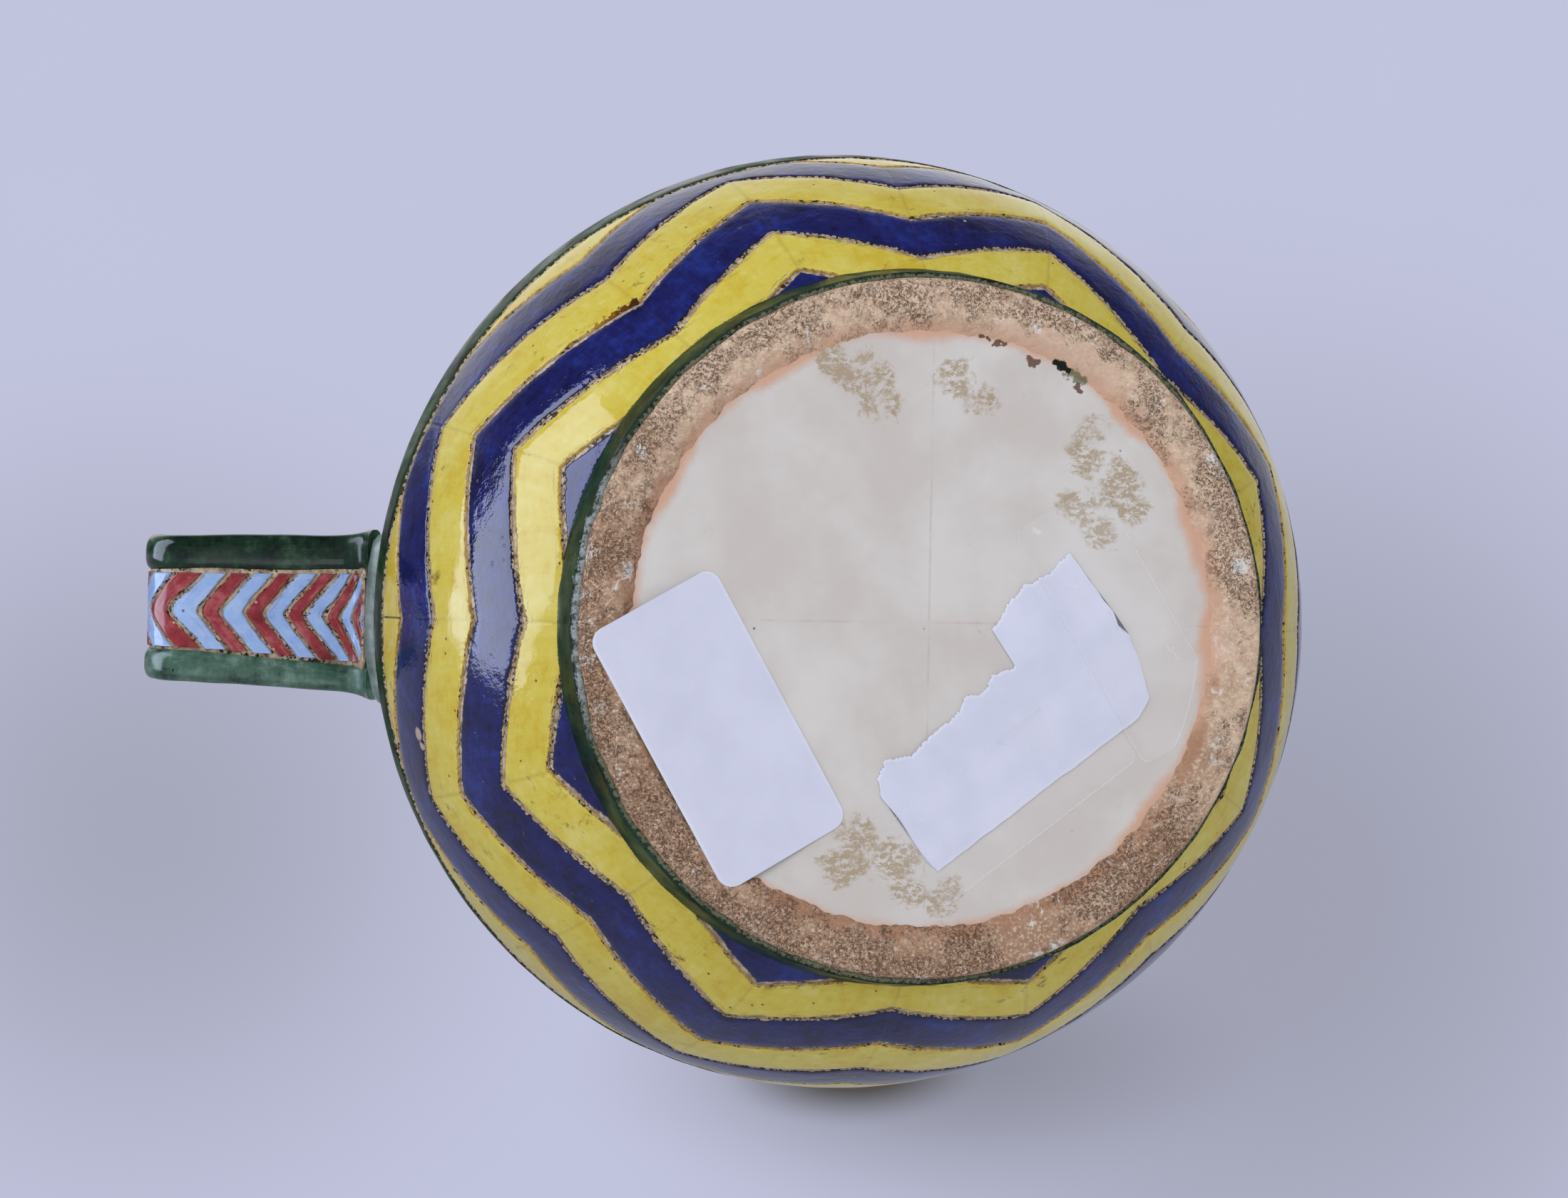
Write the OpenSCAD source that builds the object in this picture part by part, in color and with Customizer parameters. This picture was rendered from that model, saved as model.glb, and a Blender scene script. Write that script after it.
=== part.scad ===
// Hand-made glazed jug: a round body on a foot ring, a straight neck with a poured lip, and a ribbed
// strap handle. The body carries incised zigzag stripes of blue and yellow glaze, the handle and the
// neck carry red and light blue ones. +Z is up, the handle points along -X and the lip along +X.
// The origin is on the standing face, on the jug's axis.

/* [Foot] */
// Outer radius of the foot ring at its standing face
foot_r = 64; // [58:0.5:70]
// How much wider the foot ring is where it meets the ball
foot_flare = 1.6; // [0:0.1:4]
// Height of the foot ring's outer wall
foot_h = 11.2; // [8:0.2:16]
// Width of the bare standing face
foot_w = 10; // [7:0.5:14]
// Height of the bare edge under the foot's glaze
foot_bare = 0.8; // [0.4:0.1:2]
// Depth of the recess under the base
recess_d = 1.6; // [1:0.1:3]
// Thickness of the base slab
base_t = 6.4; // [5:0.2:10]

/* [Body] */
// Radius of the clay ball that shapes the lower half
ball_r = 93.5; // [86:0.5:102]
// Height of the belly's widest line
belly_z = 72; // [64:0.5:78]
// Radius of the arc that shapes the shoulder
dome_r = 62; // [56:0.5:70]
// Thickness of the wall
wall = 6; // [4:0.5:8]
// Thickness of a glaze field
glaze_t = 0.5; // [0.3:0.05:0.8]
// Width of the incised line between two glaze fields
groove_w = 1.2; // [0.6:0.1:2]

/* [Neck] */
// Outer radius of the neck
neck_r = 52; // [46:0.5:58]
// Thickness of the neck's wall
neck_wall = 5; // [4:0.5:7]
// Height of the neck from the shoulder to the rim bead
neck_h = 64; // [54:1:80]
// Height of the flared collar under the rim bead
flare_h = 12; // [8:0.5:18]
// Radius of the collar's flare
flare_r = 26; // [20:0.5:40]
// How far the rim bead stands out from the neck's wall on each side
rim_over = 0.7; // [0.3:0.1:1.5]
// Radius of the bead round the foot of the neck
bead_r = 3.2; // [2.4:0.1:5]

/* [Lip] */
// How far the poured lip stands out from the neck
lip_reach = 22; // [16:0.5:28]
// Half the width of the lip where it leaves the neck
lip_half_w = 24; // [20:0.5:28]
// How far down the neck the lip runs
lip_drop = 42; // [32:1:50]
// Radius of the lip's nose
lip_nose_r = 7; // [6:0.5:9]
// Thickness of the lip's wall
lip_wall = 4.5; // [3.5:0.5:5]

/* [Handle] */
// How far the handle reaches out from the jug's axis
handle_reach = 137.6; // [128:0.2:150]
// Width of the handle over its edge ribs
handle_w = 30; // [26:0.5:36]
// Diameter of an edge rib
rib_d = 7.2; // [6:0.2:9]
// Thickness of the strap between the ribs
strap_t = 4.6; // [3.4:0.2:5.6]
// Height of the lower root's bar above the belly's widest line
root_rise = 6; // [4:0.5:10]
// Length of the straight stretch above the lower root's bar
root_run = 3; // [1:0.5:8]
// Radius of the bend above the lower root
root_bend = 9; // [7:0.5:12]
// Radius of the outer elbow
elbow_bend = 8; // [6:0.5:12]
// Radius of the bend at the top of the handle
top_bend = 34; // [20:1:44]
// Height of the upper arm below the flared collar
arm_below_collar = 7; // [6.5:0.5:14]
// How far a root's bar stands out past the rib on each side
bar_over = 2.3; // [1:0.1:4]
// How much thicker a root's bar is than a rib
bar_extra = 3.6; // [2:0.2:6]

/* [Zigzag on the body] */
// Number of zigzag points round the body
points = 8; // [6:1:12]
// Angle from the foot up to the first line's low corners, below 0 where the foot cuts them off
line_first = -3.6; // [-6:0.1:-1.5]
// Angle from the first line to the second
line_step = 7.3; // [6.6:0.1:7.6]
// How much that angle grows with each line
line_growth = 0.19; // [0.1:0.01:0.25]
// Angle from a line's low corners to its high ones, on the first line
rise_first = 7.6; // [6:0.1:9]
// How much that angle grows with each line
rise_growth = 0.8; // [0.4:0.1:1]
// Angle from the foot up to the green band that the angles above are given for
line_span = 37; // [35:0.5:39]
// Height of the green band below the belly's widest line
band_below = 8; // [6:0.5:10]
// Height of the green band above the belly's widest line
band_above = 3; // [2:0.5:4]
// Angle between two lines on the shoulder
dome_step = 12; // [11:0.1:12.4]
// Angle from a shoulder line's low corners to its high ones
dome_rise = 12.5; // [10:0.1:13]
// Angle from the green band up to the neck that the two angles above are given for
dome_span = 67.7; // [65:0.1:70]

/* [Zigzag on the neck] */
// Number of zigzag points round the neck
neck_points = 24; // [16:1:32]
// Half the height of a neck zigzag
neck_zig = 3.4; // [2:0.1:4]

/* [Chevrons on the handle] */
// Length of one red and one light blue chevron together along the handle
chevron_pitch = 9.3; // [7:0.1:14]
// How far a chevron's arms run back for each millimetre that they run sideways
chevron_slant = 0.69; // [0.3:0.01:1]
// Width of the incised line round a chevron
chevron_line = 0.9; // [0.5:0.1:1.4]

/* [Papers] */
// Length of the blank label
label_l = 53; // [40:1:56]
// Width of the blank label
label_w = 26.5; // [18:0.5:30]
// Radius of the label's corners
label_round = 3; // [1:0.5:5]
// Distance of the label's middle from the jug's axis
label_off = 42.5; // [40:0.5:46]
// Turn of the label's middle round the axis
label_turn = 154; // [145:1:165]
// Angle of the label's long side
label_angle = 60.5; // [50:0.5:70]
// Length of the blank paper note
note_l = 55; // [40:1:58]
// Width of the blank paper note at its wide end
note_w = 32; // [26:0.5:34]
// Width of the blank paper note at its narrow end
note_narrow = 21.5; // [16:0.5:26]
// Share of the note's length that keeps its full width
note_step = 0.38; // [0.2:0.01:0.6]
// Width of a strip of clear tape
tape_w = 19; // [12:0.5:24]
// Length of the strip of tape along the note
tape_l = 52; // [44:1:58]
// Length of the strip of tape across the note's wide end
tape_cross = 50; // [36:1:56]
// How far the strip along the note reaches past the note's narrow end
tape_past = 3.5; // [1:0.5:6]
// Share of that strip's width that lies past the note's straight side
tape_share = 0.33; // [0.1:0.01:0.5]
// Turn of the strip across the note, away from square
tape_turn = 5.5; // [0:0.5:10]
// Distance of the note's middle from the jug's axis
note_off = 21.5; // [18:0.5:24]
// Turn of the note's middle round the axis
note_turn = 44.5; // [38:0.5:58]
// Angle of the note's long side
note_angle = 143; // [130:1:155]
// Thickness of paper
paper_t = 0.2; // [0.1:0.05:0.4]
// Thickness of tape
tape_t = 0.1; // [0.1:0.05:0.2]

/* [Hidden] */
$fn = 96;
// A length past everything on the jug
far = 400;
// How far a zigzag cutter reaches past the wall that it cuts, as a multiple of the wall's radius
reach = 1.8;
// Height of the thin slices that the lip is stretched between
lip_slice = 1;
// A small overlap where two cutters meet
eps = 0.01;

CLAY = "#c9a283";
CREAM = "#ddd5c6";
GREEN = "#22402f";
BLUE = "#23255f";
YELLOW = "#d6c04e";
RED = "#a2484a";
LIGHT_BLUE = "#93b3e6";
PAPER = "#e6e6f4";
TAPE = "#e8e4da";

// Heights and radii of the body
foot_top_r = foot_r + foot_flare;
recess_r = foot_r - foot_w;
ball_z = foot_h + sqrt(ball_r * ball_r - foot_top_r * foot_top_r);
belly_r = sqrt(ball_r * ball_r - (ball_z - belly_z) * (ball_z - belly_z));
dome_c = belly_r - dome_r;
base_z = recess_d + glaze_t;
floor_z = base_z + base_t;
neck_z = belly_z + sqrt(dome_r * dome_r - (neck_r - dome_c) * (neck_r - dome_c));
neck_top = neck_z + neck_h;
flare_z = neck_top - flare_h;
flare_c = neck_r + flare_r;
bore_r = neck_r - neck_wall;
rim_out = flare_c - sqrt(flare_r * flare_r - flare_h * flare_h);
rim_in = flare_c - sqrt((flare_r + neck_wall) * (flare_r + neck_wall) - flare_h * flare_h);
rim_r = (rim_out - rim_in) / 2 + rim_over;
rim_top = neck_top + rim_r;
bead_c = [neck_r + bead_r / 2, neck_z + bead_r / 2];
band_low = belly_z - band_below;
band_high = belly_z + band_above;

// Half a circle of radius r on the axis at height z
module half_disc(r, z) {
    intersection() {
        translate([0, z]) circle(r);
        translate([0, z - far]) square([far, 2 * far]);
    }
}

// All heights from low to high
module heights(low, high) {
    translate([0, low]) square([far, high - low]);
}

// The lower ball's section, up to the belly, drawn in by inset
module ball_section(inset) {
    intersection() {
        half_disc(ball_r - inset, ball_z);
        heights(-far, belly_z);
    }
}

// The shoulder's section, from the belly up, drawn in by inset
module dome_section(inset) {
    intersection() {
        union() {
            translate([dome_c, belly_z]) circle(dome_r - inset);
            translate([0, belly_z]) square([dome_c, dome_r - inset]);
        }
        translate([0, belly_z]) square([far, far]);
    }
}

// The hollow inside the jug, drawn in by inset
module hollow_section(inset) {
    intersection() {
        ball_section(wall + inset);
        heights(floor_z + inset, far);
    }
    dome_section(wall + inset);
    translate([0, belly_z]) square([bore_r - inset, flare_z - belly_z]);
    difference() {
        translate([0, flare_z]) square([flare_c, flare_h]);
        translate([flare_c, flare_z]) circle(flare_r + neck_wall + inset);
    }
}

// The neck's outer section, drawn out by outset
module neck_section(outset) {
    translate([0, neck_z]) square([neck_r + outset, flare_z - neck_z]);
    difference() {
        translate([0, flare_z]) square([flare_c, flare_h]);
        translate([flare_c, flare_z]) circle(flare_r - outset);
    }
}

// A closed cutter whose zigzag side runs from the axis at apex_z out through corners that take
// turns between the points low and high, each given as [radius, height]
module star(apex_z, pole_z, count, low, high) {
    ring = [for (k = [0 : 2 * count - 1])
        let (p = k % 2 == 0 ? low : high, a = 180 + 180 * k / count)
        [reach * p[0] * cos(a), reach * p[0] * sin(a), apex_z + reach * (p[1] - apex_z)]];
    up = pole_z > apex_z;
    side = [for (k = [0 : 2 * count - 1])
        let (a = k + 2, b = (k + 1) % (2 * count) + 2)
        each up ? [[0, a, b], [1, b, a]] : [[0, b, a], [1, a, b]]];
    polyhedron(concat([[0, 0, apex_z], [0, 0, pole_z]], ring), side);
}

// Foot ring and base

module foot_ring() {
    inside_ball = foot_r + 2 * foot_flare;
    color(CLAY)
    difference() {
        rotate_extrude() difference() {
            polygon([[recess_r, 0], [foot_r, 0], [inside_ball, 2 * foot_h], [recess_r, 2 * foot_h]]);
            ball_section(0);
        }
        under_label(far);
    }
}

module foot_glaze() {
    bare_r = foot_r + foot_flare * foot_bare / foot_h;
    color(GREEN)
    rotate_extrude() polygon([
        [bare_r, foot_bare], [bare_r + glaze_t, foot_bare],
        [foot_top_r + glaze_t, foot_h], [foot_top_r, foot_h]
    ]);
}

module base_slab() {
    color(CLAY)
    rotate_extrude() difference() {
        translate([0, base_z]) square([recess_r, foot_h]);
        hollow_section(0);
        heights(foot_h, far);
    }
}

module base_glaze() {
    color(CREAM)
    translate([0, 0, recess_d]) cylinder(r = recess_r, h = glaze_t);
}

// Body, neck and rim

module lower_bowl() {
    color(CLAY)
    difference() {
        rotate_extrude() difference() {
            ball_section(0);
            hollow_section(0);
            translate([0, -far]) square([recess_r, far + foot_h]);
            heights(-far, 0);
        }
        under_label(far);
    }
}

module shoulder() {
    color(CLAY)
    rotate_extrude() difference() {
        dome_section(0);
        hollow_section(0);
        heights(neck_z, far);
    }
}

module neck() {
    color(CLAY)
    difference() {
        rotate_extrude() difference() {
            neck_section(0);
            hollow_section(0);
        }
        lip_hollow();
    }
}

module neck_bead() {
    color(GREEN)
    rotate_extrude() difference() {
        translate(bead_c) circle(bead_r);
        dome_section(0);
        neck_section(0);
    }
}

module rim_bead() {
    color(GREEN)
    difference() {
        rotate_extrude() intersection() {
            translate([(rim_in + rim_out) / 2, neck_top]) circle(rim_r);
            heights(neck_top, far);
        }
        beak(0, lip_slice);
    }
}

module collar_glaze() {
    color(GREEN)
    difference() {
        rotate_extrude() difference() {
            neck_section(glaze_t);
            neck_section(0);
            heights(neck_z, flare_z + groove_w / 2);
        }
        lip_body();
    }
}

module inner_glaze() {
    color(CREAM)
    difference() {
        rotate_extrude() difference() {
            hollow_section(0);
            hollow_section(glaze_t);
        }
        lip_hollow();
    }
}

// Pouring lip

// A beak that tapers from inside the neck out to the nose, with its walls drawn in by inset and its
// top raised by lift
module beak(inset, lift) {
    root_x = neck_r - lip_half_w + lip_nose_r;
    nose_x = neck_r + lip_reach - lip_nose_r;
    heel_x = neck_r - lip_nose_r;
    hull() {
        translate([root_x, 0, rim_top - lip_slice])
            cylinder(r = lip_half_w - inset, h = lip_slice + lift, $fn = 32);
        translate([nose_x, 0, rim_top - lip_slice])
            cylinder(r = lip_nose_r - inset, h = lip_slice + lift, $fn = 32);
        translate([heel_x, 0, rim_top - lip_drop + inset])
            cylinder(r = lip_nose_r - inset, h = lip_slice, $fn = 32);
    }
}

module lip_body() {
    beak(0, 0);
}

module lip_hollow() {
    beak(lip_wall, lip_slice);
}

module pouring_lip() {
    color(GREEN)
    difference() {
        lip_body();
        lip_hollow();
        rotate_extrude() union() {
            neck_section(0);
            translate([0, neck_top - eps]) square([rim_in, far]);
        }
    }
}

// Glaze fields on the body

module ball_skin(low, high) {
    rotate_extrude() intersection() {
        difference() {
            ball_section(-glaze_t);
            ball_section(0);
        }
        heights(low, high);
    }
}

module dome_skin(low, high) {
    rotate_extrude() intersection() {
        difference() {
            dome_section(-glaze_t);
            dome_section(0);
        }
        heights(low, high);
    }
}

module belly_band() {
    color(GREEN)
    difference() {
        union() {
            ball_skin(band_low, belly_z);
            dome_skin(belly_z, band_high);
        }
        root_bar(root_rho, root_z);
    }
}

// Half an incised line's width, as an angle on the ball and on the shoulder
ball_half = groove_w / 2 / ball_r * 180 / PI;
dome_half = groove_w / 2 / dome_r * 180 / PI;
// The body has six stripes on each half, with lines 0 to 4 between them
last_line = 4;
// Angles up the ball of the foot's edge and the band's, and how far the lines spread to fill what is between
foot_deg = asin(foot_top_r / ball_r);
band_deg = acos((ball_z - band_low) / ball_r);
ball_spread = (band_deg - foot_deg) / line_span;
// The same on the shoulder, from the band up to the neck
dome_first = asin(band_above / dome_r);
dome_spread = (acos((neck_r - dome_c) / dome_r) - dome_first) / dome_span;

function ball_point(deg) = [ball_r * sin(deg), ball_z - ball_r * cos(deg)];
function dome_point(deg) = [dome_c + dome_r * cos(deg), belly_z + dome_r * sin(deg)];
function line_low(i) = foot_deg + ball_spread * (line_first + line_step * i + line_growth * i * i);
function line_high(i) =
    i == last_line ? band_deg : line_low(i) + ball_spread * (rise_first + rise_growth * i);
function dome_low(i) = dome_first + dome_spread * dome_step * i;
function dome_high(i) = dome_low(i) + dome_spread * dome_rise;

// All of the ball below line i, moved up by shift degrees
module below_line(i, shift) {
    star(ball_z, ball_z - reach * ball_r, points,
        ball_point(line_low(i) + shift), ball_point(line_high(i) + shift));
}

// All of the shoulder above line i, moved down by shift degrees
module above_line(i, shift) {
    star(belly_z, belly_z + reach * dome_r, points,
        dome_point(dome_high(i) - shift), dome_point(dome_low(i) - shift));
}

// The ball's glaze between line i and the next line
module ball_stripe(i) {
    intersection() {
        ball_skin(foot_h, band_low - groove_w);
        difference() {
            below_line(i + 1, -ball_half);
            below_line(i, ball_half);
        }
    }
}

// The shoulder's glaze between line i and the next line
module dome_stripe(i) {
    difference() {
        intersection() {
            dome_skin(band_high + groove_w, bead_c[1]);
            difference() {
                above_line(i, -dome_half);
                above_line(i + 1, dome_half);
            }
        }
        root_bar(root_rho, root_z);
    }
}

module lower_blue_points() {
    color(BLUE)
    intersection() {
        ball_skin(foot_h, band_low);
        below_line(0, -ball_half);
    }
}

module lower_yellow_inner() { color(YELLOW) ball_stripe(0); }
module lower_blue_inner() { color(BLUE) ball_stripe(1); }
module lower_yellow_outer() { color(YELLOW) ball_stripe(2); }
module lower_blue_outer() { color(BLUE) ball_stripe(3); }

module lower_yellow_points() {
    color(YELLOW)
    difference() {
        ball_skin(foot_h, band_low - groove_w);
        below_line(last_line, ball_half);
    }
}

module upper_yellow_points() {
    color(YELLOW)
    difference() {
        dome_skin(band_high + groove_w, bead_c[1]);
        above_line(0, dome_half);
        root_bar(root_rho, root_z);
    }
}

module upper_blue_outer() { color(BLUE) dome_stripe(0); }
module upper_yellow_outer() { color(YELLOW) dome_stripe(1); }
module upper_blue_inner() { color(BLUE) dome_stripe(2); }
module upper_yellow_inner() { color(YELLOW) dome_stripe(3); }

module upper_blue_points() {
    color(BLUE)
    difference() {
        intersection() {
            dome_skin(band_high, neck_z);
            above_line(last_line, -dome_half);
        }
        rotate_extrude() translate(bead_c) circle(bead_r);
    }
}

// Glaze fields on the neck

// The neck has five stripes, with a line between each two
neck_lines = 4;
neck_field_low = bead_c[1] + bead_r + groove_w / 2;
neck_field_high = flare_z - groove_w / 2;
neck_line_step = (neck_field_high - neck_field_low) / (neck_lines + 1);

// All of the neck below zigzag line i, moved up by shift
module below_neck_line(i, shift) {
    z = neck_field_low + neck_line_step * (i + 1) + shift;
    star(z, z - far, neck_points, [neck_r, z - neck_zig], [neck_r, z + neck_zig]);
}

// The neck's glaze between zigzag line i and the next line
module neck_stripe(i) {
    difference() {
        rotate_extrude() intersection() {
            difference() {
                neck_section(glaze_t);
                neck_section(0);
            }
            heights(neck_field_low, neck_field_high);
        }
        if (i >= 0) below_neck_line(i, groove_w / 2);
        if (i < neck_lines - 1) above_neck_line(i + 1);
        lip_body();
        root_bar(neck_r, arm_z);
    }
}

module above_neck_line(i) {
    difference() {
        translate([0, 0, neck_z]) cylinder(r = neck_r + lip_reach, h = neck_h);
        below_neck_line(i, -groove_w / 2);
    }
}

module neck_red_foot() { color(RED) neck_stripe(-1); }
module neck_blue_lower() { color(LIGHT_BLUE) neck_stripe(0); }
module neck_red_middle() { color(RED) neck_stripe(1); }
module neck_blue_upper() { color(LIGHT_BLUE) neck_stripe(2); }
module neck_red_top() { color(RED) neck_stripe(3); }

// Handle, drawn in the plane of its path: rho outwards from the jug's axis, then height

// The path's corners are rounded to hundredths, so that its runs and bends meet face to face
function hundredths(v) = round(v * 100) / 100;
root_z = hundredths(belly_z + root_rise);
root_wall_r = hundredths(dome_c + sqrt(dome_r * dome_r - root_rise * root_rise));
bar_r = (rib_d + bar_extra) / 2;
root_rho = root_wall_r + bar_extra / 2;
strap_rho = root_wall_r + hundredths(glaze_t + rib_d / 2);
outer_rho = hundredths(handle_reach - rib_d / 2);
bend_1 = hundredths(root_bend);
bend_2 = hundredths(elbow_bend);
bend_3 = hundredths(top_bend);
strap_half = hundredths(strap_t / 2);
root_turn_z = root_z + hundredths(root_run);
lower_arm_z = root_turn_z + bend_1;
arm_z = hundredths(flare_z - arm_below_collar);
rib_y = (handle_w - rib_d) / 2;
field_w = handle_w - 2 * rib_d;

// Path stretches: lengths of the runs and bends from the lower root to the neck
run_root = root_turn_z - root_z;
run_lower = outer_rho - bend_2 - strap_rho - bend_1;
run_outer = arm_z - bend_3 - lower_arm_z - bend_2;
run_upper = outer_rho - bend_3;
s1 = run_root;
s2 = s1 + bend_1 * PI / 2;
s3 = s2 + run_lower;
s4 = s3 + bend_2 * PI / 2;
s5 = s4 + run_outer;
s6 = s5 + bend_3 * PI / 2;
s7 = s6 + run_upper - neck_r;

// The path's point and the direction of its outer face, s millimetres from the lower root
function bend_deg(s, start, r) = (s - start) / r * 180 / PI;
function path_at(s) =
    s < s1 ? [strap_rho, root_z + s] :
    s < s2 ? let (a = bend_deg(s, s1, bend_1))
        [strap_rho + bend_1 * (1 - cos(a)), root_turn_z + bend_1 * sin(a)] :
    s < s3 ? [strap_rho + bend_1 + s - s2, lower_arm_z] :
    s < s4 ? let (a = bend_deg(s, s3, bend_2))
        [outer_rho - bend_2 * (1 - sin(a)), lower_arm_z + bend_2 * (1 - cos(a))] :
    s < s5 ? [outer_rho, lower_arm_z + bend_2 + s - s4] :
    s < s6 ? let (a = bend_deg(s, s5, bend_3))
        [outer_rho - bend_3 * (1 - cos(a)), arm_z - bend_3 * (1 - sin(a))] :
    [outer_rho - bend_3 - s + s6, arm_z];
function outward_at(s) =
    s < s1 ? [1, 0] :
    s < s2 ? let (a = bend_deg(s, s1, bend_1)) [cos(a), -sin(a)] :
    s < s3 ? [0, -1] :
    s < s4 ? let (a = bend_deg(s, s3, bend_2)) [sin(a), -cos(a)] :
    s < s5 ? [1, 0] :
    s < s6 ? let (a = bend_deg(s, s5, bend_3)) [cos(a), sin(a)] :
    [0, 1];
function path_point(s, y, d) =
    let (p = path_at(s), n = outward_at(s)) [-p[0] - d * n[0], y, p[1] + d * n[1]];

// A quarter of a ring about a bend's centre, between two radii
module bend_section(centre, quarter, r_in, r_out) {
    translate(centre)
    intersection() {
        difference() {
            circle(r_out);
            circle(r_in);
        }
        rotate(quarter) square(far);
    }
}

// The strip of the handle's section between offsets d0 and d1, outwards of its path
module path_section(d0, d1) {
    d = d1 - d0;
    translate([strap_rho + d0, root_z]) square([d, run_root]);
    bend_section([strap_rho + bend_1, root_turn_z], 90, bend_1 - d1, bend_1 - d0);
    translate([strap_rho + bend_1, lower_arm_z - d1]) square([run_lower, d]);
    bend_section([outer_rho - bend_2, lower_arm_z + bend_2], -90, bend_2 + d0, bend_2 + d1);
    translate([outer_rho + d0, lower_arm_z + bend_2]) square([d, run_outer]);
    bend_section([outer_rho - bend_3, arm_z - bend_3], 0, bend_3 + d0, bend_3 + d1);
    translate([0, arm_z + d0]) square([run_upper, d]);
}

// A strip of the handle, w wide, standing in its place on the -X side
module path_strip(d0, d1, w) {
    rotate([90, 0, 180]) translate([0, 0, -w / 2])
        linear_extrude(height = w) path_section(d0, d1);
}

// One round rib along the whole path at the side y
module path_rib(y) {
    rotate([0, 0, 180]) translate([0, -y, 0]) {
        translate([strap_rho, 0, root_z]) cylinder(d = rib_d, h = run_root);
        rib_bend([strap_rho + bend_1, root_turn_z], bend_1, 90);
        translate([strap_rho + bend_1, 0, lower_arm_z]) rotate([0, 90, 0])
            cylinder(d = rib_d, h = run_lower);
        rib_bend([outer_rho - bend_2, lower_arm_z + bend_2], bend_2, -90);
        translate([outer_rho, 0, lower_arm_z + bend_2]) cylinder(d = rib_d, h = run_outer);
        rib_bend([outer_rho - bend_3, arm_z - bend_3], bend_3, 0);
        translate([0, 0, arm_z]) rotate([0, 90, 0]) cylinder(d = rib_d, h = run_upper);
    }
}

module rib_bend(centre, r, start) {
    translate([centre[0], 0, centre[1]]) rotate([90, 0, 0]) rotate([0, 0, start])
        rotate_extrude(angle = 90) translate([r, 0]) circle(d = rib_d);
}

// A cross bar with round ends that a root of the handle is pressed into
module root_bar(rho, z) {
    half = handle_w / 2 + bar_over - bar_r;
    translate([-rho, 0, z]) {
        rotate([90, 0, 0]) cylinder(r = bar_r, h = 2 * half, center = true);
        for (side = [-1, 1]) translate([0, side * half, 0]) sphere(r = bar_r);
    }
}

// Everything inside the jug's own outer wall
module jug_core() {
    rotate_extrude() union() {
        ball_section(0);
        dome_section(0);
        neck_section(0);
    }
}

module handle_ends() {
    root_bar(root_rho, root_z);
    root_bar(neck_r, arm_z);
    translate([0, 0, neck_z]) cylinder(r = neck_r, h = neck_h);
}

module handle_strap() {
    color(GREEN)
    difference() {
        path_strip(-strap_half, strap_half, 2 * rib_y);
        path_rib(rib_y);
        path_rib(-rib_y);
        handle_ends();
    }
}

module handle_rib_left() {
    color(GREEN)
    difference() {
        path_rib(-rib_y);
        handle_ends();
    }
}

module handle_rib_right() {
    color(GREEN)
    difference() {
        path_rib(rib_y);
        handle_ends();
    }
}

module handle_root_lower() {
    color(GREEN)
    difference() {
        root_bar(root_rho, root_z);
        jug_core();
    }
}

module handle_root_upper() {
    color(GREEN)
    difference() {
        root_bar(neck_r, arm_z);
        jug_core();
    }
}

// A cutter for the chevron whose tip runs from s0 to s1 along the path
module chevron(s0, s1) {
    sides = [-1, -0.5, 0, 0.5, 1] * field_w / 2;
    last = len(sides) - 1;
    depth = [strap_half / 2, 2 * strap_half];
    corners = [for (y = sides) each [for (s = [s0, s1]) each [for (d = depth)
        path_point(s - chevron_slant * abs(y), y, d)]]];
    walls = [for (i = [0 : last - 1]) let (a = 4 * i, b = 4 * i + 4) each [
        [a, a + 1, b + 1, b], [a + 2, b + 2, b + 3, a + 3],
        [a, b, b + 2, a + 2], [a + 1, a + 3, b + 3, b + 1]
    ]];
    ends = [[0, 2, 3, 1], [4 * last, 4 * last + 1, 4 * last + 3, 4 * last + 2]];
    triangles = [for (q = concat(walls, ends)) each [[q[0], q[2], q[1]], [q[0], q[3], q[2]]]];
    polyhedron(corners, triangles);
}

// Every second chevron along the handle, starting at start
module chevron_row(start) {
    half = chevron_pitch / 2;
    difference() {
        intersection() {
            path_strip(strap_half, strap_half + glaze_t, field_w - chevron_line);
            union() for (s = [start : chevron_pitch : s7 + field_w])
                chevron(s + chevron_line / 2, s + half - chevron_line / 2);
        }
        path_rib(rib_y);
        path_rib(-rib_y);
        handle_ends();
    }
}

module handle_red_chevrons() { color(RED) chevron_row(0); }
module handle_blue_chevrons() { color(LIGHT_BLUE) chevron_row(chevron_pitch / 2); }

// Papers under the base

module round_oblong(l, w, r) {
    square([l - 2 * r, w], center = true);
    square([l, w - 2 * r], center = true);
    for (x = [-1, 1]) for (y = [-1, 1])
        translate([x * (l / 2 - r), y * (w / 2 - r)]) circle(r);
}

// The label's face against the jug: flush with the standing face, then a step up into the recess
label_step_out = recess_r + recess_d;
label_step_in = recess_r - 2 * recess_d;

// All that lies under the label's outline, from its face against the jug down by depth
module under_label(depth) {
    intersection() {
        rotate_extrude() polygon([
            [0, recess_d - depth], [label_step_in, recess_d - depth],
            [label_step_out, paper_t - depth], [far, paper_t - depth],
            [far, paper_t], [label_step_out, paper_t], [label_step_in, recess_d], [0, recess_d]
        ]);
        rotate(label_turn) translate([label_off, 0, -far / 2]) rotate(label_angle - label_turn)
            linear_extrude(height = far) round_oblong(label_l, label_w, label_round);
        translate([0, 0, -far / 2]) cylinder(r = foot_r - paper_t, h = far);
    }
}

module paper_label() { color(PAPER) under_label(paper_t); }

module note_place() {
    rotate(note_turn) translate([note_off, 0, recess_d]) rotate(note_angle - note_turn) children();
}

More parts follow.
